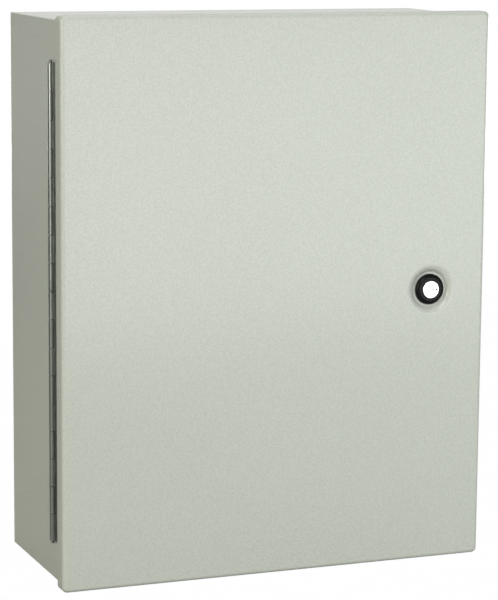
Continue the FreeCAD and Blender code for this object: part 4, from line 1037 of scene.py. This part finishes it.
@dataclass
class MainBoard:
    """The main circuit board with its terminals, relays and soldered parts."""

    palette: Palette
    seed: int = 11
    flat_chip: float = 6.0 * MM
    leg_pitch: float = 1.27 * MM
    leg_reach: float = 1.1 * MM
    leg_half_width: float = 0.22 * MM
    leg_foot: float = 0.25 * MM
    leg_height: float = 1.0 * MM
    leaf_gap: float = 0.25 * MM
    room: float = 2.2 * MM
    step: float = 3.2 * MM
    cap_length: float = 5.5 * MM
    cap_wall: float = 0.12 * MM
    cap_bevel: float = 0.3 * MM

    def build(self) -> None:
        """Dresses the board's parts and adds the small soldered ones."""
        board = CircuitBoard("green_board", (0.008, 0.085, 0.030), (0.78, 0.70, 0.50))
        dress(board.material(), "main_board")
        dress(Plastic("terminal_green", (0.020, 0.20, 0.060), 0.42).material(), "terminal_blocks")
        dress(self.palette.tinned, "terminal_screws", "fuse_clips", "board_screws")
        dress(self.palette.black, "circuit_chips", "board_header", "sounder")
        dress(self.palette.zinc, "board_standoffs")
        dress(Plastic("relay_blue", (0.030, 0.085, 0.28), 0.30, 700.0, 0.01 * MM).material(), "relays")
        sleeve = Plastic("can_sleeve", (0.015, 0.020, 0.060), 0.28, 500.0, 0.01 * MM)
        dress(sleeve.material(), "capacitors")
        dress(ClearGlass("fuse_glass", (0.85, 0.88, 0.86)).material(), "fuses")
        dress(BrushedMetal("black_anodising", (0.030, 0.030, 0.032), 0.5).material(), "heatsink")
        self.chip_legs()
        self.can_tops()
        self.small_parts()
        self.fuse_caps()

    def chip_legs(self) -> None:
        """Adds two rows of bent legs to each flat chip."""
        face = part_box("main_board")[0].y
        shape = Shape()
        for low, high in solids_of("circuit_chips"):
            if high.y - low.y > self.flat_chip:
                continue
            wide = high.x - low.x > high.z - low.z
            start, end = (low.x, high.x) if wide else (low.z, high.z)
            near, far = (low.z, high.z) if wide else (low.x, high.x)
            count = int((end - start - 2.0 * self.leg_half_width) / self.leg_pitch)
            first = (start + end - (count - 1) * self.leg_pitch) / 2.0
            for k in range(count):
                along = first + k * self.leg_pitch
                self.leg(shape, face, along, near, near - self.leg_reach, wide)
                self.leg(shape, face, along, far, far + self.leg_reach, wide)
        shape.piece("chip_legs", "cabinet", "tinned_brass", self.palette.tinned)

    def leg(self, shape: Shape, face: float, along: float, root: float, toe: float, wide: bool) -> None:
        """Adds one leg: the rise beside the chip, and the foot on the board.

        Args:
            shape: The piece that takes it.
            face: The board's face.
            along: Its place along the chip's side.
            root: Where it leaves the chip.
            toe: Where it ends.
            wide: Whether the chip's long sides lie across the board.
        """
        bend = root + (toe - root) * 0.3
        for height, end in ((self.leg_foot, toe), (self.leg_height, bend)):
            first = (along - self.leg_half_width, face - height, root)
            second = (along + self.leg_half_width, face, end)
            if not wide:
                first, second = first[::-1], second[::-1]
            shape.block(tuple(map(min, first, second)), tuple(map(max, first, second)))

    def can_tops(self) -> None:
        """Adds the bare, scored top of each capacitor: three leaves with the score between them."""
        shape = Shape()
        leaves = 3
        turn = 360.0 / leaves
        for low, high in solids_of("capacitors"):
            radius = (high.x - low.x) / 2.0 * 0.84
            centre = (low + high) / 2.0
            for leaf in range(leaves):
                outline = pie_slice(radius, turn * leaf + 30.0, turn, self.leaf_gap, 10)
                corners = [(centre.x + x, centre.z + z) for x, z in outline]
                shape.prism(corners, low.y - 0.12 * MM, low.y + 0.05 * MM, 0.03 * MM)
        shape.piece("capacitor_tops", "cabinet", "tinned_brass", self.palette.tinned)

    def taken(self) -> list[tuple[float, float, float, float]]:
        """Finds where other parts stand on the board.

        Returns:
            Lowest and highest X and Z of each area, with room round it.
        """
        names = ("relays", "capacitors", "circuit_chips", "fuse_clips", "fuses", "heatsink", "board_header",
                 "sounder", "terminal_blocks", "board_standoffs", "board_screws", "lead_connectors")
        return [(low.x - self.room, high.x + self.room, low.z - self.room, high.z + self.room)
                for name in names for low, high in solids_of(name)]

    def small_parts(self) -> None:
        """Adds resistors and ceramic and tantalum capacitors in short rows wherever the board is free."""
        chance = random.Random(self.seed)
        tray = (*(None,) * 4, *(SmallPart.RESISTOR,) * 2, SmallPart.CERAMIC, SmallPart.TANTALUM,
                SmallPart.RESISTOR)
        low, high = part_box("main_board")
        areas = self.taken()
        bodies = {kind: Shape() for kind in SmallPart}
        ends = Shape()
        columns = int((high.x - low.x) / self.step) - 2
        rows = int((high.z - low.z) / self.step) - 2
        for row in range(rows):
            kind, run = None, 0
            z = low.z + (row + 1.5) * self.step
            for column in range(columns):
                x = low.x + (column + 1.5) * self.step
                if run <= 0:
                    kind, run = chance.choice(tray), chance.randint(2, 6)
                run -= 1
                crowded = kind is SmallPart.TANTALUM and run % 2 == 0
                if kind is None or crowded or any(a < x < b and c < z < d for a, b, c, d in areas):
                    continue
                kind.add(bodies[kind], ends, x, low.y, z)
        bodies[SmallPart.RESISTOR].piece("resistor_bodies", "cabinet", "black_plastic", self.palette.black)
        ends.piece("part_end_caps", "cabinet", "tinned_brass", self.palette.tinned)
        tan = Plastic("ceramic_tan", (0.36, 0.24, 0.13), 0.4, 900.0, 0.01 * MM).material()
        bodies[SmallPart.CERAMIC].piece("ceramic_capacitors", "cabinet", "coil_tape", tan)
        amber = Plastic("tantalum_amber", (0.55, 0.26, 0.03), 0.38, 900.0, 0.01 * MM).material()
        bodies[SmallPart.TANTALUM].piece("tantalum_capacitors", "cabinet", "lamp_yellow", amber)

    def fuse_caps(self) -> None:
        """Adds the metal cap at each end of the glass fuses."""
        shape = Shape()
        for low, high in solids_of("fuses"):
            radius = (high.x - low.x) / 2.0 + self.cap_wall
            bore = radius - 0.1 * MM
            axis = ((low.x + high.x) / 2.0, (low.y + high.y) / 2.0, 0.0)
            for end, way in ((low.z, 1.0), (high.z, -1.0)):
                outer = end - way * self.cap_wall
                inner = end + way * self.cap_length
                bevel = way * self.cap_bevel
                outline = [(0.0, outer), (radius - self.cap_bevel, outer), (radius, outer + bevel),
                           (radius, inner), (bore, inner), (bore, inner - bevel)]
                shape.lathe(outline, axis, 24, Axis.Z)
        shape.piece("fuse_caps", "cabinet", "tinned_brass", self.palette.tinned)


def pie_slice(radius: float, start: float, turn: float, gap: float, steps: int) -> Outline:
    """Corners of a slice of a disc, drawn in from its neighbours by half a gap.

    Args:
        radius: The disc's radius.
        start: Angle of its first side, in degrees.
        turn: Angle between its sides, in degrees.
        gap: Distance between neighbouring slices.
        steps: Steps along the round side.

    Returns:
        The corners.
    """
    middle = math.radians(start + turn / 2.0)
    shift = gap / 2.0 / math.sin(math.radians(turn / 2.0))
    corners = [(shift * math.cos(middle), shift * math.sin(middle))]
    margin = math.degrees(gap / 2.0 / radius)
    for k in range(steps + 1):
        angle = math.radians(start + margin + (turn - 2.0 * margin) * k / steps)
        corners.append((radius * math.cos(angle), radius * math.sin(angle)))
    return corners


@dataclass
class OperatorModule:
    """Display, lamps and buttons behind their front plate."""

    palette: Palette
    ring_inner: float = 2.9 * MM
    ring_outer: float = 4.3 * MM
    ring_proud: float = 0.8 * MM
    strip_thick: float = 0.2 * MM
    strip_bevel: float = 0.06 * MM
    strip_height: float = 4.8 * MM
    strip_start: float = 7.0 * MM
    strip_end: float = 38.0 * MM
    caption_height: float = 4.5 * MM
    caption_gap: float = 3.0 * MM
    caption_inset: float = 1.0 * MM

    def build(self) -> None:
        """Dresses the module and adds lamp rings and blank label strips."""
        plate = Plastic("panel_grey", (0.42, 0.44, 0.45), 0.5, 1100.0, 0.04 * MM)
        dress(plate.material(), "operator_plate")
        board = CircuitBoard("display_green_board", (0.008, 0.075, 0.035), (0.78, 0.70, 0.5), Routing.DOWN)
        dress(board.material(), "display_board")
        dress(self.palette.black, "display_frame", "button_switches")
        low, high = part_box("display_glass")
        screen = Screen("display_window", (0.30, 0.42, 0.10), (0.16, 0.25, 0.06), tuple(low), tuple(high))
        dress(screen.material(), "display_glass")
        caps = Plastic("button_cap", (0.15, 0.16, 0.17), 0.45, 1300.0, 0.04 * MM)
        dress(caps.material(), "button_acknowledge", "button_drill", "button_reset", "button_silence")
        dress(Lens("green_lens", (0.05, 0.62, 0.12), 0.5).material(), "power_lamp")
        dress(Lens("red_lens", (0.52, 0.02, 0.02), 0.03).material(), "alarm_lamp")
        dress(Lens("yellow_lens", (0.75, 0.46, 0.03), 0.03).material(), "trouble_lamps")
        self.lamp_rings()
        self.labels()

    def lamps(self) -> list[Vector]:
        """Finds the lamps.

        Returns:
            Middle of each lamp's dome, on the plate's front face.
        """
        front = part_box("operator_plate")[0].y
        found = []
        for name in ("power_lamp", "alarm_lamp", "trouble_lamps"):
            for low, high in solids_of(name):
                middle = (low + high) / 2.0
                found.append(Vector((middle.x, front, middle.z)))
        return found

    def lamp_rings(self) -> None:
        """Adds a rounded black ring on the plate round each lamp."""
        shape = Shape()
        inner, outer, proud = self.ring_inner, self.ring_outer, self.ring_proud
        outline = [(inner, 0.0), (inner, -proud * 0.7), (inner + 0.3 * MM, -proud),
                   (outer - 0.5 * MM, -proud), (outer, -proud * 0.4), (outer, 0.0), (inner, 0.0)]
        for centre in self.lamps():
            shape.lathe(outline, tuple(centre), 32)
        shape.piece("lamp_rings", "cabinet", "black_plastic", self.palette.black)

    def labels(self) -> None:
        """Adds a blank insert strip beside each lamp and under each button."""
        card = Plastic("label_card", (0.72, 0.71, 0.66), 0.55, 2200.0, 0.01 * MM)
        shape = Shape()
        half = self.strip_height / 2.0
        for lamp in self.lamps():
            self.strip(shape, lamp.x + self.strip_start, lamp.x + self.strip_end,
                       lamp.z - half, lamp.z + half)
        for name in ("button_acknowledge", "button_silence", "button_drill", "button_reset"):
            low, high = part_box(name)
            top = low.z - self.caption_gap
            self.strip(shape, low.x + self.caption_inset, high.x - self.caption_inset,
                       top - self.caption_height, top)
        shape.piece("label_strips", "cabinet", "button_grey", card.material())

    def strip(self, shape: Shape, left: float, right: float, bottom: float, top: float) -> None:
        """Adds one strip to the plate's front face.

        Args:
            shape: The piece that takes it.
            left: Its lowest X.
            right: Its highest X.
            bottom: Its lowest Z.
            top: Its highest Z.
        """
        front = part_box("operator_plate")[0].y
        shape.block((left, front - self.strip_thick, bottom), (right, front, top), self.strip_bevel)


@dataclass
class PowerSupply:
    """Mains transformer and the terminal strip that feeds it."""

    palette: Palette
    board: float = 1.2 * MM
    board_proud: float = 1.0 * MM
    board_clear: float = 0.1 * MM
    tags: int = 5
    tag_width: float = 2.4 * MM
    tag_length: float = 3.4 * MM
    tag_thick: float = 0.5 * MM
    bead_place: float = 2.2 * MM
    weld_width: float = 1.9 * MM
    weld_ripple: float = 1.6 * MM
    weld_proud: float = 0.35 * MM

    def build(self) -> None:
        """Dresses the transformer and adds the coil's end boards and the core's weld lines."""
        dress(Laminations("core_sheets", (0.20, 0.19, 0.18)).material(), "transformer_core")
        dress(WoundTape("coil_tape", (0.60, 0.36, 0.07)).material(), "transformer_coil")
        dress(self.palette.zinc, "transformer_clamp")
        dress(self.palette.black, "mains_terminal")
        dress(self.palette.tinned, "mains_screws")
        self.end_boards()
        self.soldered_tags()
        self.core_welds()

    def end_boards(self) -> None:
        """Adds the bobbin's end boards, above and below the winding, in front of and behind the core."""
        low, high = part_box("transformer_coil")
        core_low, core_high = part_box("transformer_core")
        shape = Shape()
        spans = ((low.y - self.board_proud, core_low.y - self.board_clear),
                 (core_high.y + self.board_clear, high.y + self.board_proud))
        for z in (low.z, high.z - self.board):
            for front, back in spans:
                shape.block((low.x, front, z), (high.x, back, z + self.board), 0.3 * MM)
        nylon = Plastic("bobbin_nylon", (0.55, 0.53, 0.45), 0.45, 900.0, 0.02 * MM).material()
        shape.piece("bobbin_end_boards", "cabinet", "coil_tape", nylon)

    def soldered_tags(self) -> None:
        """Adds a row of tags to the upper end board, each with a bead of solder."""
        low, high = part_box("transformer_coil")
        z = high.z - self.board / 2.0
        half_width, half_thick = self.tag_width / 2.0, self.tag_thick / 2.0
        bead = [(0.0, 1.1 * MM), (0.7 * MM, 0.8 * MM), (1.3 * MM, 0.2 * MM), (0.0, 0.2 * MM)]
        shape = Shape()
        for k in range(self.tags):
            x = low.x + (high.x - low.x) * (k + 0.5) / self.tags
            shape.block((x - half_width, low.y - self.tag_length, z - half_thick),
                        (x + half_width, low.y, z + half_thick), 0.08 * MM)
            shape.lathe(bead, (x, low.y - self.bead_place, z), 16, Axis.Z)
        shape.piece("bobbin_tags", "cabinet", "tinned_brass", self.palette.tinned)

    def core_welds(self) -> None:
        """Adds two rippled weld lines across the edges of the core's sheets, above and below."""
        low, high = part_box("transformer_core")
        half, proud = self.weld_width / 2.0, self.weld_proud
        shape = Shape()
        for share in (0.3, 0.7):
            x = low.x + (high.x - low.x) * share
            for z in (low.z, high.z):
                for k in range(int((high.y - low.y) / self.weld_ripple)):
                    y = low.y + k * self.weld_ripple
                    shape.block((x - half, y, z - proud), (x + half, y + self.weld_ripple, z + proud),
                                0.25 * MM)
        shape.piece("core_weld_lines", "cabinet", "core_steel", self.palette.zinc)


@dataclass
class Batteries:
    """Two sealed batteries in their tray."""

    palette: Palette
    sunk: float = 0.1 * MM
    vents_per_lid: int = 6
    vent_radius: float = 6.5 * MM
    vent_proud: float = 0.5 * MM
    ring_inner: float = 5.9 * MM
    ring_outer: float = 7.4 * MM
    ring_proud: float = 0.9 * MM
    ring_bevel: float = 0.4 * MM

    def build(self) -> None:
        """Dresses the batteries and adds the terminal rings and the vent covers."""
        dress(self.palette.white, "battery_tray")
        case = Plastic("battery_case", (0.060, 0.062, 0.066), 0.55, 1000.0, 0.06 * MM)
        dress(case.material(), "battery_cases")
        lid = Plastic("battery_lid", (0.042, 0.043, 0.046), 0.5, 1000.0, 0.06 * MM).material()
        dress(lid, "battery_lids")
        dress(self.palette.tinned, "battery_tabs")
        self.vents(lid)
        self.rings()

    def vents(self, material: bpy.types.Material) -> None:
        """Adds a row of shallow vent covers to each lid.

        Args:
            material: The lid's material.
        """
        radius, proud = self.vent_radius, self.vent_proud
        outline = [(0.0, proud), (radius * 0.55, proud), (radius * 0.62, proud * 0.5), (radius * 0.7, proud),
                   (radius * 0.94, proud), (radius, proud * 0.5), (radius, -self.sunk)]
        shape = Shape()
        for low, high in solids_of("battery_lids"):
            pitch = (high.x - low.x) / (self.vents_per_lid + 1.0)
            y = low.y + (high.y - low.y) * 0.62
            for k in range(self.vents_per_lid):
                shape.lathe(outline, (low.x + (k + 1.0) * pitch, y, high.z), 32, Axis.Z)
        shape.piece("battery_vents", "cabinet", "battery_lid_grey", material)

    def rings(self) -> None:
        """Adds a coloured ring round each tab: red for plus, black for minus."""
        inner, outer, proud, bevel = self.ring_inner, self.ring_outer, self.ring_proud, self.ring_bevel
        outline = [(inner, -self.sunk), (inner, proud), (outer - bevel, proud), (outer, proud - bevel),
                   (outer, -self.sunk), (inner, -self.sunk)]
        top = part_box("battery_lids")[1].z
        plus, minus = Shape(), Shape()
        for k, (low, high) in enumerate(solids_of("battery_tabs")):
            middle = (low + high) / 2.0
            (plus, minus)[k % 2].lathe(outline, (middle.x, middle.y, top), 32, Axis.Z)
        red = Plastic("terminal_red", (0.45, 0.02, 0.02), 0.4).material()
        plus.piece("plus_terminal_rings", "cabinet", "lamp_red", red)
        minus.piece("minus_terminal_rings", "cabinet", "black_plastic", self.palette.black)


@dataclass
class Leads:
    """The battery's and the transformer's leads and their connectors."""

    palette: Palette

    def build(self) -> None:
        """Dresses the leads and their connectors."""
        dress(WireSheath("red_sheath", (0.48, 0.015, 0.012)).material(), "lead_red")
        dress(WireSheath("black_sheath", (0.016, 0.016, 0.017)).material(), "lead_black")
        dress(WireSheath("blue_sheath", (0.015, 0.08, 0.36)).material(), "lead_jumper")
        dress(WireSheath("yellow_sheath", (0.70, 0.46, 0.03)).material(), "transformer_leads")
        dress(self.palette.nylon, "lead_connectors")


# ---------------------------------------------------------------- studio
@dataclass(frozen=True)
class SoftLight:
    """A rectangular soft light, with its power in watts; the camera doesn't see it."""

    name: str
    place: Point
    target: Point
    size: tuple[float, float]
    power: float
    colour: Colour = (1.0, 1.0, 1.0)

    def add(self) -> None:
        """Adds the light to the scene."""
        light = bpy.data.lights.new(self.name, "AREA")
        light.shape = "RECTANGLE"
        light.size, light.size_y = self.size
        light.energy = self.power
        light.color = self.colour
        thing = bpy.data.objects.new(self.name, light)
        thing.location = self.place
        aim = Vector(self.target) - Vector(self.place)
        thing.rotation_euler = aim.to_track_quat("-Z", "Y").to_euler()
        thing.visible_camera = False
        bpy.context.scene.collection.objects.link(thing)


@dataclass
class Studio:
    """Pale floor, soft lights, white surround and the camera.

    The camera's angles are in degrees, and its offset is measured from the door's front.
    """

    lens: float = 145.5
    sensor: float = 36.0
    yaw: float = 21.63
    pitch: float = 9.48
    roll: float = 0.49
    offset: Point = (-0.8282, -2.0128, 0.3616)
    floor_half: float = 1.8
    floor_centre: float = -0.6
    floor_gap: float = 0.3 * MM
    ambient: float = 0.16

    def build(self) -> None:
        """Sets the whole studio round the object."""
        bpy.context.scene.view_settings.view_transform = "Standard"
        self.floor()
        self.surround()
        for light in self.lights():
            light.add()
        self.camera()

    def lights(self) -> list[SoftLight]:
        """Chooses the lights.

        Returns:
            The lights: four for the front, and then three for the sides and the back.
        """
        door = (0.0, CAD_BOX[0][1], 0.0)
        top = (0.0, 0.0, CAD_BOX[1][2])
        middle = (0.0, 0.0, 0.0)
        edge = (0.65, 0.0, 0.0)
        cream = (1.0, 1.0, 0.98)
        return [
            SoftLight("key_softbox", (-0.6, -2.0, 1.7), door, (1.3, 0.8), 21.0),
            SoftLight("left_softbox", (-2.1, -1.25, 0.5), door, (1.0, 1.2), 19.0, (1.0, 0.985, 0.84)),
            SoftLight("front_card", (0.65, -1.4, -0.02), edge, (1.2, 0.5), 6.9, (0.96, 0.99, 1.0)),
            SoftLight("top_softbox", (0.1, 0.25, 1.6), door, (1.5, 0.8), 7.5, (1.0, 0.99, 0.97)),
            SoftLight("rear_card", (0.75, 1.9, 0.6), top, (2.4, 0.8), 5.0),
            SoftLight("right_softbox", (2.3, 0.7, 0.0), middle, (1.2, 0.4), 14.0, cream),
            SoftLight("rear_softbox", (0.4, 2.5, -0.02), middle, (1.6, 0.4), 18.0, cream),
        ]

    def floor(self) -> None:
        """Adds a wide pale floor just under the object."""
        part = bmesh.new()
        bmesh.ops.create_grid(part, x_segments=8, y_segments=8, size=self.floor_half)
        place = (0.0, self.floor_centre, CAD_BOX[0][2] - self.floor_gap)
        bmesh.ops.translate(part, verts=part.verts, vec=place)
        data = bpy.data.meshes.new("floor")
        part.to_mesh(data)
        part.free()
        data.materials.append(self.paper())
        floor = bpy.data.objects.new("floor", data)
        bpy.context.scene.collection.objects.link(floor)

    def paper(self) -> bpy.types.Material:
        """Makes the floor's paper: white where it is looked at, and grey where it reflects light.

        Returns:
            Its material.
        """
        s = Surface("floor_paper")
        fibre = s.noise(40.0, 4.0)
        s.finish(Base_Color=s.mix(fibre, (0.34, 0.34, 0.33), (0.37, 0.37, 0.36)), Roughness=0.7)
        white = s.node("ShaderNodeEmission", {}, {"Color": s.mix(fibre, (0.99, 0.99, 0.99), (1.0, 1.0, 1.0))})
        s.feed(s.output.inputs["Surface"], s.two_faced(s.shader, white))
        return s.material

    def surround(self) -> None:
        """Makes the surround: white where it is looked at, and a dim grey as a light."""
        world = bpy.data.worlds.new("surround")
        bpy.context.scene.world = world
        world.use_nodes = True
        sky = Nodes(world.node_tree)
        dim = {"Color": (0.95, 0.98, 1.0, 1.0), "Strength": self.ambient}
        lit = sky.node("ShaderNodeBackground", {}, dim)
        seen = sky.node("ShaderNodeBackground", {}, {"Color": (1.0, 1.0, 1.0, 1.0), "Strength": 1.0})
        sky.node("ShaderNodeOutputWorld", {}, {"Surface": sky.two_faced(lit, seen)})

    def camera(self) -> None:
        """Adds the camera, in front of the door, to its left and a little above it."""
        lens = bpy.data.cameras.new("camera")
        lens.lens = self.lens
        lens.sensor_width = self.sensor
        camera = bpy.data.objects.new("camera", lens)
        front = Vector((0.0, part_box("door_panel")[0].y, 0.0))
        turn = (Matrix.Rotation(math.radians(-self.yaw), 4, "Z")
                @ Matrix.Rotation(math.radians(90.0 - self.pitch), 4, "X")
                @ Matrix.Rotation(math.radians(self.roll), 4, "Z"))
        camera.matrix_world = Matrix.Translation(front + Vector(self.offset)) @ turn
        bpy.context.scene.collection.objects.link(camera)
        bpy.context.scene.camera = camera


def main() -> None:
    """Builds the studio and every sub-assembly."""
    Studio().build()
    palette = Palette.mixed()
    for kind in (Cabinet, Door, Latch, MainBoard, OperatorModule, PowerSupply, Batteries, Leads):
        LOG.info("%s", kind.__name__)
        kind(palette).build()


if __name__ == "__main__":
    main()
